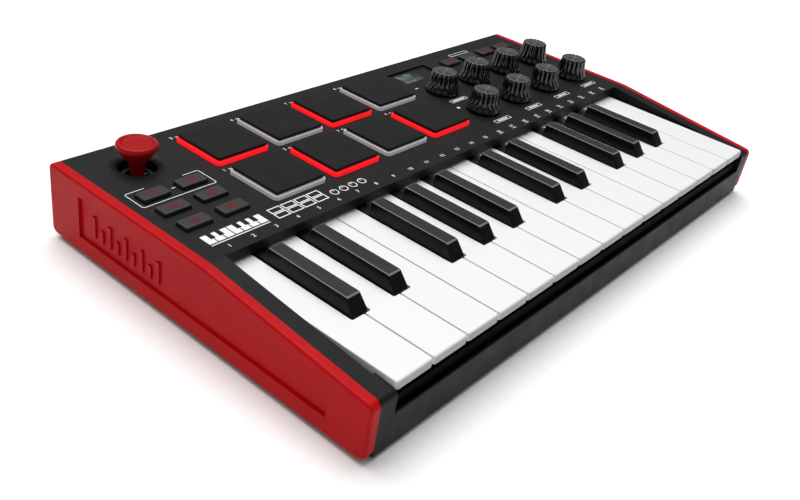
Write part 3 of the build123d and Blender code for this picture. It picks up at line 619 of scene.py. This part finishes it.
def smoked_acrylic(add, where):
    """Cast acrylic, smoked and polished, over a switched-off display: almost black, with faint wiping
    marks and one pale painted reflection, a cool grey patch painted into its left part."""
    wiped = add("Mapping", {"Vector": where, "Scale": (0.15, 1.0, 1.0)})
    marks = add("TexNoise", grit(wiped, mm(1.4), 4.0))
    mark = add("MapRange", across(marks, 0.0, 1.0))
    # painted reflection: a cool grey patch over the window's left part
    side = add("SeparateXYZ", {"Vector": where}).outputs["X"]
    left = add("MapRange", across(side, 1.0, 0.0, mm(50.0), mm(58.0)))
    behind = add("TexNoise", grit(where, mm(5.0), 3.0))
    patch = add("MapRange", across(behind, 0.1, 1.0))
    seen = add("Math", {0: left, 1: patch}, operation="MULTIPLY")
    dark = add("Mix", {"Factor": mark, "A": linear("0B0C0E"), "B": linear("15171A")})
    return {
        "Base Color": add("Mix", {"Factor": seen, "A": dark, "B": linear("6A7A7C")}),
        "Roughness": add("MapRange", across(marks, 0.05, 0.14)),
        "IOR": 1.49,
    }


def laminate(add, where):
    """Glass-epoxy laminate under green solder mask: the weave shows as a faint grid, 1 mm for
    0.4 mm real."""
    weave = add("TexChecker", {"Vector": where, "Scale": 1 / mm(1.0)}).outputs["Fac"]
    pool = add("TexNoise", grit(where, mm(6.0), 3.0))
    woven = add("MapRange", across(weave, 0.0, 0.35, 0.0, 1.0))
    pooled = add("MapRange", across(pool, 0.0, 0.5))
    tone = add("Mix", {"Factor": woven, "A": linear("0B3B22"), "B": linear("124D2E")})
    return {
        "Base Color": add("Mix", {"Factor": pooled, "A": tone, "B": linear("082C19")}),
        "Roughness": add("MapRange", across(pool, 0.22, 0.36)),
        "Normal": add("Bump", {"Height": weave, "Distance": mm(0.02)}),
    }


def plated(add, where, colour, rough, streak):
    """Plated and barrel-tumbled metal: bright, with short random streaks that blur its
    reflections."""
    drawn = add("Mapping", {"Vector": where, "Scale": streak})
    lines = add("TexNoise", grit(drawn, mm(0.6), 3.0))
    line = add("MapRange", across(lines, 0.0, 1.0))
    return {
        "Base Color": add("Mix", {"Factor": line, "A": shade(colour, 0.86), "B": colour}),
        "Metallic": 1.0,
        "Roughness": add("MapRange", across(lines, rough, rough + 0.16)),
        "Normal": add("Bump", {"Height": lines, "Distance": mm(0.01)}),
    }


def paper(add, where):
    """Matt white background paper: fibres make it very slightly uneven, and it mirrors nothing."""
    fibre = add("TexNoise", grit(where, mm(3.0), 3.0))
    laid = add("MapRange", across(fibre, 0.0, 1.0))
    return {
        "Base Color": add("Mix", {"Factor": laid, "A": linear("F7F7F7"), "B": linear("FAFAFA")}),
        "Roughness": add("MapRange", across(fibre, 0.9, 1.0)),
    }


# ---------------------------------------------------------------- operators
class CONTROLLER_OT_case(bpy.types.Operator):
    """Finishes the two charcoal covers and the keybed frame"""

    bl_idname = "controller.case"
    bl_label = "Case"

    LIP_TOP = mm(16.6)  # just above the low front wall
    LIP_NEAR, LIP_FAR = mm(0.5, 2.5)  # the wall, measured from the case's front
    LIP_END = mm(146.6)  # half its length

    def execute(self, context):
        shell = moulding("abs_charcoal_spark_eroded", context.scene.controller_colours.shell)
        # painted shade: a near-black without shine for the keybed frame and the lip under the keys
        shaded = moulding("polystyrene_black", linear("030303"))
        refinish("top_cover", shell, shaded)
        refinish("bottom_cover", shell)
        refinish("keybed_frame", shaded)
        # painted shade: the front wall's top and inner side lie in the keys' shade and get the
        # near-black finish without shine
        mesh, x, y, z = faces_of("top_cover")
        front = cad_bounds[0][1]
        within = (y > front + self.LIP_NEAR) & (y < front + self.LIP_FAR)
        lip = (z < self.LIP_TOP) & within & (abs(x) < self.LIP_END)
        mesh.polygons.foreach_set("material_index", lip.astype(np.int32))
        return {"FINISHED"}


class CONTROLLER_OT_cheeks(bpy.types.Operator):
    """Finishes the red end cheeks"""

    bl_idname = "controller.cheeks"
    bl_label = "End cheeks"

    def execute(self, context):
        refinish(
            "end_cheeks", moulding("abs_red_fine_satin", context.scene.controller_colours.cheek)
        )
        return {"FINISHED"}


class CONTROLLER_OT_keys(bpy.types.Operator):
    """Builds the fifteen white keys and ten black keys"""

    bl_idname = "controller.keys"
    bl_label = "Keys"

    STEM_END = mm(-1.0)  # white keys stop here, under the panel
    BLACK_END = mm(-10.3)
    BESIDE_BLACK = mm(0.7)  # clearance between a black key and its neighbours

    def execute(self, context):
        sizes, colours = context.scene.controller_sizes, context.scene.controller_colours
        white = finish("abs_white_gloss", white_key_abs, colours.white_key)
        black = finish("abs_black_lined", black_key_abs, colours.black_key)
        blacks = [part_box(name) for name in numbered("black_key_")]
        for name in numbered("white_key_"):
            rows = self.white_rows(*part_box(name), blacks, sizes.key_nose)
            shell = [(*skin(rows), 0)]
            build(name + "_cap", shell, [white], name, [name])
        white_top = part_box("white_key_01")[1].z
        for name in numbered("black_key_"):
            low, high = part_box(name)
            rows = self.black_rows(low, high, white_top)
            # the arm behind it that carries it back to the pivot starts inside the key
            start = self.BLACK_END - mm(4.0)
            middle = ((low.x + high.x) / 2, (start + high.y) / 2)
            arm = box_plan(middle, mm(5.0), high.y - self.BLACK_END + mm(4.0), mm(0.5), 3)
            arm_low, arm_high = white_top - mm(7.2), white_top - mm(1.1)
            tail = stacked(arm, [(0.0, arm_low, 1.0), (0.0, arm_high, 1.0)])
            parts = [(*skin(rows), 0), (*skin(tail), 0)]
            build(name + "_cap", parts, [black], name, [name])
        return {"FINISHED"}

    def white_rows(self, low, high, blacks, nose):
        """Closed shell of a white key: its plan is stepped beside the black keys, its sides
        round over by a small radius and its front by a large one."""
        left, right, front, top = low.x, high.x, low.y, high.z
        stem_left, stem_right = left, right
        for black_low, black_high in blacks:
            if black_low.x < left < black_high.x:
                stem_left = black_high.x + self.BESIDE_BLACK
            if black_low.x < right < black_high.x:
                stem_right = black_low.x - self.BESIDE_BLACK
        step = blacks[0][0].y - self.BESIDE_BLACK
        corners, radii = [(left, front), (right, front)], [mm(1.3)] * 2
        if stem_right < right:
            corners += [(right, step), (stem_right, step)]
        corners += [(stem_right, self.STEM_END), (stem_left, self.STEM_END)]
        if stem_left > left:
            corners += [(stem_left, step), (left, step)]
        radii += [mm(0.55)] * (len(corners) - 2)
        centres, directions, reach = plan(corners, radii)
        bottom, side = top - mm(3.5), mm(0.4)
        t = np.linspace(0, math.pi / 2, 10)
        height = np.concatenate([[bottom, bottom + mm(0.2)], top - nose * (1 - np.sin(t)), [top]])
        at_side = round_over(height, top, side)
        at_front = round_over(height, top, nose)
        at_side[0] = at_front[0] = mm(0.2)
        at_side[-1] += mm(0.06)
        at_front[-1] += mm(0.1)
        flat = centres + (reach - at_side[:, None])[..., None] * directions
        forward = np.maximum(0, -directions[:, 1])
        flat[..., 1] += (at_front - at_side)[:, None] * forward
        lift = np.broadcast_to(height[:, None, None], flat.shape[:2] + (1,))
        return np.concatenate([flat, lift], -1)

    def black_rows(self, low, high, white_top):
        """Closed shell of a black key: straight below the white keys' top, then leaning in on
        all sides, most of all at the front, with a rounded top edge."""
        top, edge = high.z, mm(0.6)
        t = np.linspace(0, math.pi / 2, 7)
        heights = [low.z + mm(5.0), white_top, *(top - edge * (1 - np.sin(t))), top]
        rows = []
        for number, height in enumerate(heights):
            rise = max(0.0, (height - white_top) / (top - white_top))
            over = float(round_over(height, top, edge)) + (
                mm(0.05) if number == len(heights) - 1 else 0.0
            )
            rows.append(
                (
                    low.x + mm(0.7) * rise + over,
                    high.x - mm(0.7) * rise - over,
                    low.y + mm(4.3) * rise + over,
                    self.BLACK_END - mm(0.6) * rise - over,
                    mm(0.6),
                    height,
                )
            )
        return tapered(rows)


class CONTROLLER_OT_pads(bpy.types.Operator):
    """Builds the eight pads, each a matt cap on a light guide"""

    bl_idname = "controller.pads"
    bl_label = "Pads"

    LIT = ("pad_2", "pad_4", "pad_5", "pad_7")

    def execute(self, context):
        sizes, colours = context.scene.controller_sizes, context.scene.controller_colours
        silicone = moulding("silicone_black_matt", colours.pad)
        lit = finish("silicone_light_guide_red", lamp_lit, colours.lit)
        unlit = finish("silicone_light_guide_clear", lamp_unlit, colours.unlit)
        for name in numbered("pad_"):
            centre, size, high = centre_and_size(name)
            flange = mm(1.2)  # the hidden flange stands this far outside the lamp, each side
            lamp = size.x - 2 * flange
            cap = lamp - 2 * sizes.lamp_width
            cap_bottom = high.z - sizes.cap_height
            outline = box_plan(centre, lamp, lamp, sizes.pad_corner + sizes.lamp_width)
            rim = soft_edge(0.0, cap_bottom, mm(0.25), 4)
            guide = stacked(outline, flanged(flange, PANEL_UNDER - mm(1.7), rim))
            flat = high.z - sizes.pad_crown
            edge = soft_edge(0.0, flat, sizes.pad_edge, 7)
            inset = edge[-1][0]
            # the top rises to its middle with the cube of the distance from the edge
            crown = [
                (inset, high.z - sizes.pad_crown * scale**3, scale)
                for scale in (0.97, 0.9, 0.75, 0.5, 0.2)
            ]
            foot = [
                (mm(0.6), cap_bottom - mm(0.1), 1.0),
                (mm(0.6), cap_bottom + mm(0.1), 1.0),
                (0.0, cap_bottom + mm(0.7), 1.0),
            ]
            cap_rows = stacked(
                box_plan(centre, cap, cap, sizes.pad_corner), [*foot, *edge, *crown]
            )
            lamp_finish = lit if name in self.LIT else unlit
            for part, rows, made in (("lamp", guide, lamp_finish), ("cap", cap_rows, silicone)):
                build(f"{name}_{part}", [(*skin(rows), 0)], [made], name, [name])
        return {"FINISHED"}


class CONTROLLER_OT_buttons(bpy.types.Operator):
    """Builds the ten buttons and the lit legend bars in their tops"""

    bl_idname = "controller.buttons"
    bl_label = "Buttons"

    # lengths of the legend bars in mm, upper line then lower line; plain bars, not lettering
    BARS = (
        ((1.5, 2.3, 1.2), (2.6, 1.8)),
        ((2.1, 1.6, 1.4), (1.2, 2.4)),
        ((1.8, 2.6), (1.6, 1.2, 1.5)),
        ((2.9, 1.7), (2.2, 1.7)),
        ((1.2, 1.9, 1.6), (3.1,)),
    )

    BAR_HEIGHT, BAR_GAP = 1.5, 0.35  # mm
    BAR_LINES = (1.0, -0.9)  # mm from the button's middle
    DIM = "button_08"  # its legend is off

    def execute(self, context):
        rubber = moulding(
            "silicone_lacquered_black", shade(context.scene.controller_colours.pad, 1.5)
        )
        red = finish("lit_legend_red", legend_glow, linear("86151E"), 0.1)
        # the legend that is off still gets a faint painted glow
        dim = finish("dim_legend_grey", legend_glow, linear("4A4A4E"), 0.02)
        ink = context.scene.controller_sizes.ink
        for order, name in enumerate(numbered("button_")):
            centre, size, high = centre_and_size(name)
            flange = mm(0.9)
            outline = box_plan(centre, size.x - 2 * flange, size.y - 2 * flange, mm(0.8), 5)
            top = high.z - mm(0.05)
            edge = soft_edge(0.0, top, mm(0.5), 6)
            rows = stacked(outline, flanged(flange, PANEL_UNDER - mm(1.5), edge))
            build(name + "_cap", [(*skin(rows), 0)], [rubber], name, [name])
            bars = []
            for offset, lengths in zip(self.BAR_LINES, self.BARS[order % len(self.BARS)]):
                y = centre.y + mm(offset)
                run = sum(lengths) + self.BAR_GAP * (len(lengths) - 1)
                x = centre.x - mm(run) / 2
                for length in lengths:
                    path = [(x, y), (x + mm(length), y)]
                    bar = stroke(path, mm(self.BAR_HEIGHT), high.z - mm(0.2), top + ink)
                    bars.append((*bar, 0))
                    x += mm(length + self.BAR_GAP)
            made = dim if name == self.DIM else red
            build(name + "_legend", bars, [made], name)
        return {"FINISHED"}


class CONTROLLER_OT_knobs(bpy.types.Operator):
    """Builds the eight fluted knobs"""

    bl_idname = "controller.knobs"
    bl_label = "Knobs"

    BRIM = (
        (0.1, 0.4, 1.0),
        (0.32, 0.14, 1.0),
        (0.65, 0.02, 0.97),
        (1.1, 0.0, 0.85),
        (1.8, 0.02, 0.45),
        (2.5, 0.1, 0.1),
        (3.2, 0.2, 0.0),
    )
    FIRST_LINE = 0.35  # turn of the first raised line, in radians

    def execute(self, context):
        sizes = context.scene.controller_sizes
        plastic = finish("abs_black_polished", knob_abs)
        rubbed = moulding("abs_grey_rubbed", linear("7C7C80"))
        for name in numbered("knob_"):
            centre, size, high = centre_and_size(name)
            low = PANEL_TOP + mm(0.6)
            # the skirt flares out at the foot and the wall leans in towards the top
            base, top, rise = size.x / 2 + mm(0.8), size.x / 2 - mm(1.3), high.z - low
            t = np.linspace(0, 1, 9)
            # the flutes run out towards the foot
            depth = sizes.flute_depth * np.sin(np.clip(t * 1.25 + 0.06, 0, 1) * math.pi / 2)
            lean = base - (base - top) * t**0.55
            wall = np.stack([lean, low + mm(1.0) + (rise - mm(1.7)) * t, depth], -1)
            # from the wall to the middle of the top: inwards and down in mm, and the share of flute
            rows = np.array(self.BRIM)
            flute = sizes.flute_depth * rows[:, 2]
            brim = np.stack([top - mm(rows[:, 0]), high.z - mm(rows[:, 1]), flute], -1)
            middle_rows = [(mm(1.2), high.z - mm(0.24), 0.0), (mm(0.05), high.z - mm(0.24), 0.0)]
            profile = [
                (mm(3.0), PANEL_UNDER - mm(3.3), 0.0),
                (mm(3.0), low + mm(2.9), 0.0),
                (base - mm(1.4), low + mm(2.9), 0.0),
                (base - mm(1.2), low, 0.0),
                (base - mm(0.25), low, 0.0),
                (base, low + mm(0.25), 0.0),
                (base, low + mm(0.8), 0.0),
                *wall.tolist(),
                *brim.tolist(),
                *middle_rows,
            ]
            body = skin(turned(centre, profile, sizes.flutes * 14, sizes.flutes, 0.9))
            # four fine raised lines across the top, at right angles
            lines = []
            for quarter in range(4):
                turn = quarter * math.pi / 2 + self.FIRST_LINE
                out = np.array([math.cos(turn), math.sin(turn)])
                middle = np.array([centre.x, centre.y])
                path = [middle + out * mm(0.3), middle + out * (top - mm(1.1))]
                lines.append((*stroke(path, mm(0.4), high.z - mm(0.5), high.z - mm(0.01)), 1))
            parts = [(*body, 0), *lines]
            build(name + "_cap", parts, [plastic, rubbed], name, [name])
        return {"FINISHED"}


class CONTROLLER_OT_thumbstick(bpy.types.Operator):
    """Builds the red thumbstick and finishes its gimbal ring"""

    bl_idname = "controller.thumbstick"
    bl_label = "Thumbstick"

    # the cap's dished top: inwards from its edge and down, in mm
    DISH = ((1.9, 0.04), (2.25, 0.22), (2.45, 0.5), (2.7, 0.6), (3.6, 0.6), (5.4, 0.52))
    PIN_HALF, PIN_RADIUS = mm(6.9, 1.0)

    def execute(self, context):
        acetal = moulding("acetal_black_waxy", linear("0A0A0B"))
        refinish("gimbal_ring", acetal)
        centre, _, high = centre_and_size("thumbstick")
        pivot = centre_and_size("gimbal_ring")[0].z
        cap, neck, top = mm(8.7), mm(3.3), high.z
        flare_low, flare_high = PANEL_TOP - mm(0.3), top - mm(2.5)
        t = np.linspace(0, 1, 18)
        # the neck opens out to the cap: a parabola at first, then nearly a straight cone
        opened = 1.2 * t**2 / (0.2 + t)
        width = neck + (cap - mm(0.25) - neck) * opened
        flare = np.stack([width, flare_low + (flare_high - flare_low) * t], -1)
        bend = np.linspace(-0.3, math.pi / 2, 10)
        across_rim, up_rim = mm(1.35, 1.75)
        rim = np.stack(
            [
                cap - across_rim + across_rim * np.cos(bend),
                top - up_rim + up_rim * np.sin(bend),
            ],
            -1,
        )
        dish = np.array((cap, top)) - mm(np.array(self.DISH))
        dish = [*dish.tolist(), (mm(1.5), top - mm(0.46)), (mm(0.05), top - mm(0.45))]
        stem = [
            (mm(2.6), pivot - mm(2.6)),
            (mm(2.6), pivot + mm(2.0)),
            (neck - mm(0.1), flare_low - mm(0.8)),
        ]
        profile = np.vstack([stem, flare, rim, dish])
        profile = np.column_stack([profile, np.zeros(len(profile))])
        body = skin(turned(centre, profile, 96))
        angle = np.linspace(0, 2 * math.pi, 24, endpoint=False)
        ring = np.stack([np.zeros(24), np.cos(angle), np.sin(angle)], -1) * self.PIN_RADIUS
        start = np.array([centre.x, centre.y, pivot])
        ends = np.array([[-self.PIN_HALF, 0, 0], [self.PIN_HALF, 0, 0]])
        pin = skin(start + ends[:, None, :] + ring[None])
        parts = [(*body, 0), (*pin, 1)]
        made = [moulding("abs_red_soft_touch", linear("A0050B")), acetal]
        build("thumbstick_cap", parts, made, "thumbstick", ["thumbstick"])
        return {"FINISHED"}


class CONTROLLER_OT_electronics(bpy.types.Operator):
    """Finishes the boards, the display's window, the sockets, the feet and the screws"""

    bl_idname = "controller.electronics"
    bl_label = "Electronics and fixings"

    BOARD, GLASS, METAL, BLACK = range(4)  # material slots of the boards
    # where the parts on the boards are: middle and half size in mm, or a limit
    DISPLAY_X, DISPLAY_Y, GLASS_LOW = (54.0, 15.5), (70.0, 7.0), mm(29.6)
    SOCKETS_X, SOCKETS_FRONT = (-86.0, 30.0), mm(56.0)
    SOCKETS_LOW, SOCKETS_HIGH = mm(9.0, 21.0)
    USB_X, JACK_X, JACK_BORE = (-70.0, 6.2), (-102.0, 7.2), mm(3.4)
    TONGUE_X, TONGUE_Z, TONGUE_END = (-70.0, 2.95), (15.0, 1.75), mm(84.0)
    STICK, STICK_REACH = mm(-131.4, 68.0), mm(17.0)
    STICK_LOW, STICK_HIGH = mm(18.65, 31.0)
    BOARD_TOP = mm(28.05)

    def execute(self, context):
        finishes = (
            finish("glass_epoxy_solder_mask", laminate),
            finish("acrylic_smoked_polished", smoked_acrylic),
            finish("nickel_plate_dulled", plated, linear("8C8A84"), 0.3, (1.0, 0.1, 1.0)),
            moulding("polystyrene_black", linear("030303")),
        )
        refinish("circuit_boards", *finishes)
        mesh, x, y, z = faces_of("circuit_boards")

        def near(value, middle, half):
            return abs(value - mm(middle)) < mm(half)

        choice = np.full(len(x), self.BOARD, np.int32)
        window = near(x, *self.DISPLAY_X) & near(y, *self.DISPLAY_Y) & (z > self.GLASS_LOW)
        sockets = near(x, *self.SOCKETS_X) & (y > self.SOCKETS_FRONT)
        sockets &= (z > self.SOCKETS_LOW) & (z < self.SOCKETS_HIGH)
        usb = sockets & near(x, *self.USB_X)
        tongue = usb & near(x, *self.TONGUE_X) & near(z, *self.TONGUE_Z) & (y < self.TONGUE_END)
        jack = sockets & near(x, *self.JACK_X)
        bore = np.hypot(x - mm(self.JACK_X[0]), z - mm(self.TONGUE_Z[0])) < self.JACK_BORE
        mounted = (z > self.BOARD_TOP) & ~window
        stick = np.hypot(x - self.STICK[0], y - self.STICK[1]) < self.STICK_REACH
        stick &= (z > self.STICK_LOW) & (z < self.STICK_HIGH)
        choice[mounted | stick] = self.BLACK
        choice[window] = self.GLASS
        choice[usb] = self.METAL
        choice[tongue | jack] = self.BLACK
        choice[jack & bore] = self.METAL
        mesh.polygons.foreach_set("material_index", choice)
        refinish("rubber_feet", moulding("nitrile_rubber_pebbled", linear("19191A")))
        refinish(
            "case_screws",
            finish("zinc_plate_black", plated, linear("3A3A3E"), 0.3, (1.0, 1.0, 0.2)),
        )
        return {"FINISHED"}


class CONTROLLER_OT_legends(bpy.types.Operator):
    """Prints the panel's legends: numerals, frames, ticks and plain pictures of keys, pads and
    knobs"""

    bl_idname = "controller.legends"
    bl_label = "Printed legends"

    # all in mm
    THIN, FINE = 0.35, 0.4  # line widths
    OPEN_FRAME = (
        [(-141.5, 50.0), (-149.9, 50.0), (-150.6, 49.3), (-150.6, 38.6), (-149.9, 37.9)]
        + [(-115.4, 37.9), (-114.7, 38.6), (-114.7, 49.3), (-115.4, 50.0), (-122.5, 50.0)]
    )
    OCTAVE_LEFT, KEY_WIDTH, KEY_GAP, BESIDE_SHARP = -147.2, 3.7, 0.5, 0.9
    NUMERALS_LEFT, NUMERALS_PITCH = -141.7, 11.64

    def execute(self, context):
        top = PANEL_TOP + context.scene.controller_sizes.ink
        bottom = PANEL_TOP - mm(0.02)
        marks = []

        def line(points, width, closed=False):
            path = np.asarray(points, float) * 0.001
            marks.append((*stroke(path, mm(width), bottom, top, closed), 0))

        def frame_at(x, y, width, depth, thin):
            a, b = width / 2, depth / 2
            line([(x - a, y - b), (x + a, y - b), (x + a, y + b), (x - a, y + b)], thin, True)

        # open frame round the two upper buttons, its corners cut a little
        line(self.OPEN_FRAME, self.THIN)
        line([(-132.9, 43.9), (-130.9, 43.9)], self.FINE)
        # picture of an octave of keys: a full width in front, and a narrower one beside the sharps
        for number in range(7):
            left = self.OCTAVE_LEFT + number * (self.KEY_WIDTH + self.KEY_GAP)
            right = left + self.KEY_WIDTH
            line([(left, 4.6), (right, 4.6)], 2.6)
            start = left + (0.0 if number in (0, 3) else self.BESIDE_SHARP)
            end = right - (0.0 if number in (2, 6) else self.BESIDE_SHARP)
            line([(start, 7.6), (end, 7.6)], 3.5)
        line([(self.OCTAVE_LEFT, 2.3), (-118.3, 2.3)], 0.5)
        # picture of eight pads
        for number in range(8):
            frame_at(-110.6 + (number % 4) * 7.2, 3.7 + (number // 4) * 4.0, 6.0, 3.1, 0.55)
        # picture of four knobs
        angle = np.linspace(0, 2 * math.pi, 28, endpoint=False)
        circle = np.stack([np.cos(angle), np.sin(angle)], -1)
        for number in range(4):
            middle = np.array([-80.6 + number * 5.6, 4.0])
            line(middle + 1.85 * circle, 0.45, True)
            line([middle + (0.0, 0.5), middle + (0.0, 1.8)], self.FINE)
        # ticks and boxes round the pads and knobs
        pads = [centre_and_size(name)[0] * 1000 for name in numbered("pad_")]
        knobs = [centre_and_size(name)[0] * 1000 for name in numbered("knob_")]
        for pad in pads:
            line([(pad.x - 12.6, pad.y + 16.9), (pad.x - 11.0, pad.y + 16.9)], self.THIN)
        for knob in sorted(knobs, key=lambda knob: knob.y)[:4]:
            frame_at(knob.x - 0.8, 6.3, 13.0, 2.5, self.THIN)
            line([(knob.x - 5.0, 6.3), (knob.x + 3.4, 6.3)], 1.0)
        frame_at(47.1, 34.7, 13.0, 2.5, self.THIN)
        line([(42.2, 34.7), (52.0, 34.7)], 1.2)
        frame_at(103.5, 77.5, 17.0, 2.2, self.THIN)
        line(np.array([38.3, 28.2]) + 0.5 * circle, 0.8, True)
        line([(37.0, 56.5), (39.4, 56.5)], 0.5)
        along = [self.NUMERALS_LEFT + self.NUMERALS_PITCH * number for number in range(25)]
        for x in along[15:]:
            line([(x - 1.5, -3.1), (x + 1.5, -3.1)], self.FINE)
        shapes = build_mesh("legend_shapes", marks, [])
        whole = bmesh.new()
        whole.from_mesh(shapes)
        numerals = [(number, x, -1.3, 2.0) for number, x in enumerate(along, 1)]
        numerals += [
            (number, pad.x - 14.6, pad.y + 16.9, 1.8) for number, pad in enumerate(pads, 1)
        ]
        for number, x, y, height in numerals:
            letters = self.letters(str(number), mm(height), top - bottom)
            letters.transform(Matrix.Translation((mm(x), mm(y), (top + bottom) / 2)))
            whole.from_mesh(letters)
            bpy.data.meshes.remove(letters)
        bmesh.ops.remove_doubles(whole, verts=whole.verts, dist=mm(0.001))
        bmesh.ops.recalc_face_normals(whole, faces=whole.faces)
        mesh = bpy.data.meshes.new("panel_legends")
        whole.to_mesh(mesh)
        whole.free()
        bpy.data.meshes.remove(shapes)
        ink = context.scene.controller_colours.ink
        mesh.materials.append(finish("epoxy_ink_screen_printed", printed_ink, ink))
        mesh.polygons.foreach_set("material_index", np.zeros(len(mesh.polygons), np.int32))
        place("panel_legends", mesh, "case")
        return {"FINISHED"}

    @staticmethod
    def letters(text, height, thickness):
        """Mesh of a numeral of this height and thickness, centred on the origin."""
        curve = bpy.data.curves.new("numeral", "FONT")
        curve.body = text
        curve.align_x = curve.align_y = "CENTER"
        curve.size = height / 0.7  # the font's numerals are 0.7 of its size
        curve.extrude = thickness / 2
        curve.offset = height * 0.012
        curve.resolution_u = 3
        holder = bpy.data.objects.new("numeral", curve)
        bpy.context.scene.collection.objects.link(holder)
        mesh = bpy.data.meshes.new_from_object(
            holder.evaluated_get(bpy.context.evaluated_depsgraph_get())
        )
        bpy.data.objects.remove(holder)
        bpy.data.curves.remove(curve)
        mesh.materials.clear()
        return mesh


class CONTROLLER_OT_studio(bpy.types.Operator):
    """Sets up the floor, the soft lights and the camera"""

    bl_idname = "controller.studio"
    bl_label = "Studio"

    FLOOR_REACH = 24.0  # half the floor's side
    LIGHT_WAY = (-0.45, -1.05, -3.3)  # the way the soft light shines
    SENSOR, SHIFT = 36.0, (0.005, -0.0049)  # the camera's sensor in mm, and its lens shift

    def execute(self, context):
        settings = context.scene.controller_studio
        scene = context.scene
        scene.view_settings.view_transform = "Standard"
        reach = self.FLOOR_REACH
        corners = reach * np.array([(-1, -1, 0), (1, -1, 0), (1, 1, 0), (-1, 1, 0)], float)
        parts = [(corners, [np.array([[0, 1, 2, 3]])], 0)]
        material = finish("paper_backdrop_matt", paper)
        mesh = build_mesh("studio_floor", parts, [material])
        floor = bpy.data.objects.new("studio_floor", mesh)
        scene.collection.objects.link(floor)
        world = bpy.data.worlds.new("studio_room")
        world.use_nodes = True
        background = world.node_tree.nodes["Background"]
        background.inputs["Color"].default_value = linear("FFFFFF")
        # a white ceiling over dim walls, so that level surfaces mirror little of the room, and a
        # white band where the walls meet the floor
        add = partial(add_node, world.node_tree)
        direction = add("TexCoord").outputs["Generated"]
        height = add("SeparateXYZ", {"Vector": direction}).outputs["Z"]
        ceiling = add("MapRange", across(height, settings.sky * 0.15, settings.sky, 0.25, 0.9))
        skirting = add("MapRange", across(height, 0.95, 0.0, 0.02, 0.09))
        brightest = add("Math", {0: ceiling, 1: skirting}, operation="MAXIMUM")
        world.node_tree.links.new(brightest.outputs[0], background.inputs["Strength"])
        scene.world = world
        # one very large diffuser overhead, a little behind and to the right: it fills the given
        # angle, so its shadows are soft, and it lights the floor evenly out to the walls
        lamp = bpy.data.lights.new("softbox_overhead", "SUN")
        lamp.energy, lamp.angle = settings.softbox, settings.spread
        holder = bpy.data.objects.new("softbox_overhead", lamp)
        holder.rotation_euler = Vector(self.LIGHT_WAY).to_track_quat("-Z", "Y").to_euler()
        scene.collection.objects.link(holder)
        lens = bpy.data.cameras.new("camera")
        lens.lens, lens.sensor_width = settings.lens, self.SENSOR
        lens.shift_x, lens.shift_y = self.SHIFT
        lens.clip_start, lens.clip_end = 0.01, 50.0
        camera = bpy.data.objects.new("camera", lens)
        turn = [Matrix.Rotation(angle, 4, axis) for angle, axis in zip(settings.turn, "ZXY")]
        camera.matrix_world = Matrix.Translation(settings.eye) @ turn[0] @ turn[1] @ turn[2]
        scene.collection.objects.link(camera)
        scene.camera = camera
        return {"FINISHED"}


STEPS = (
    CONTROLLER_OT_studio,
    CONTROLLER_OT_case,
    CONTROLLER_OT_cheeks,
    CONTROLLER_OT_keys,
    CONTROLLER_OT_pads,
    CONTROLLER_OT_buttons,
    CONTROLLER_OT_knobs,
    CONTROLLER_OT_thumbstick,
    CONTROLLER_OT_electronics,
    CONTROLLER_OT_legends,
)


class CONTROLLER_PT_builder(bpy.types.Panel):
    """Lists the builder's steps"""

    bl_label = "Keyboard Controller"
    bl_idname = "CONTROLLER_PT_builder"
    bl_space_type = "VIEW_3D"
    bl_region_type = "UI"
    bl_category = "Controller"

    def draw(self, context):
        for group in ("controller_sizes", "controller_colours", "controller_studio"):
            settings = getattr(context.scene, group)
            for name in settings.bl_rna.properties.keys():
                if name not in ("rna_type", "name"):
                    self.layout.prop(settings, name)
        for step in STEPS:
            self.layout.operator(step.bl_idname)


GROUPS = {
    "controller_sizes": CONTROLLER_PG_sizes,
    "controller_colours": CONTROLLER_PG_colours,
    "controller_studio": CONTROLLER_PG_studio,
}


def register():
    for cls in (*GROUPS.values(), *STEPS, CONTROLLER_PT_builder):
        bpy.utils.register_class(cls)
    for name, cls in GROUPS.items():
        setattr(bpy.types.Scene, name, PointerProperty(type=cls))


def unregister():
    for name in GROUPS:
        delattr(bpy.types.Scene, name)
    for cls in (CONTROLLER_PT_builder, *reversed(STEPS), *GROUPS.values()):
        bpy.utils.unregister_class(cls)


def main():
    register()
    for step in STEPS:
        section, call = step.bl_idname.split(".")
        getattr(getattr(bpy.ops, section), call)()


if __name__ == "__main__":
    main()
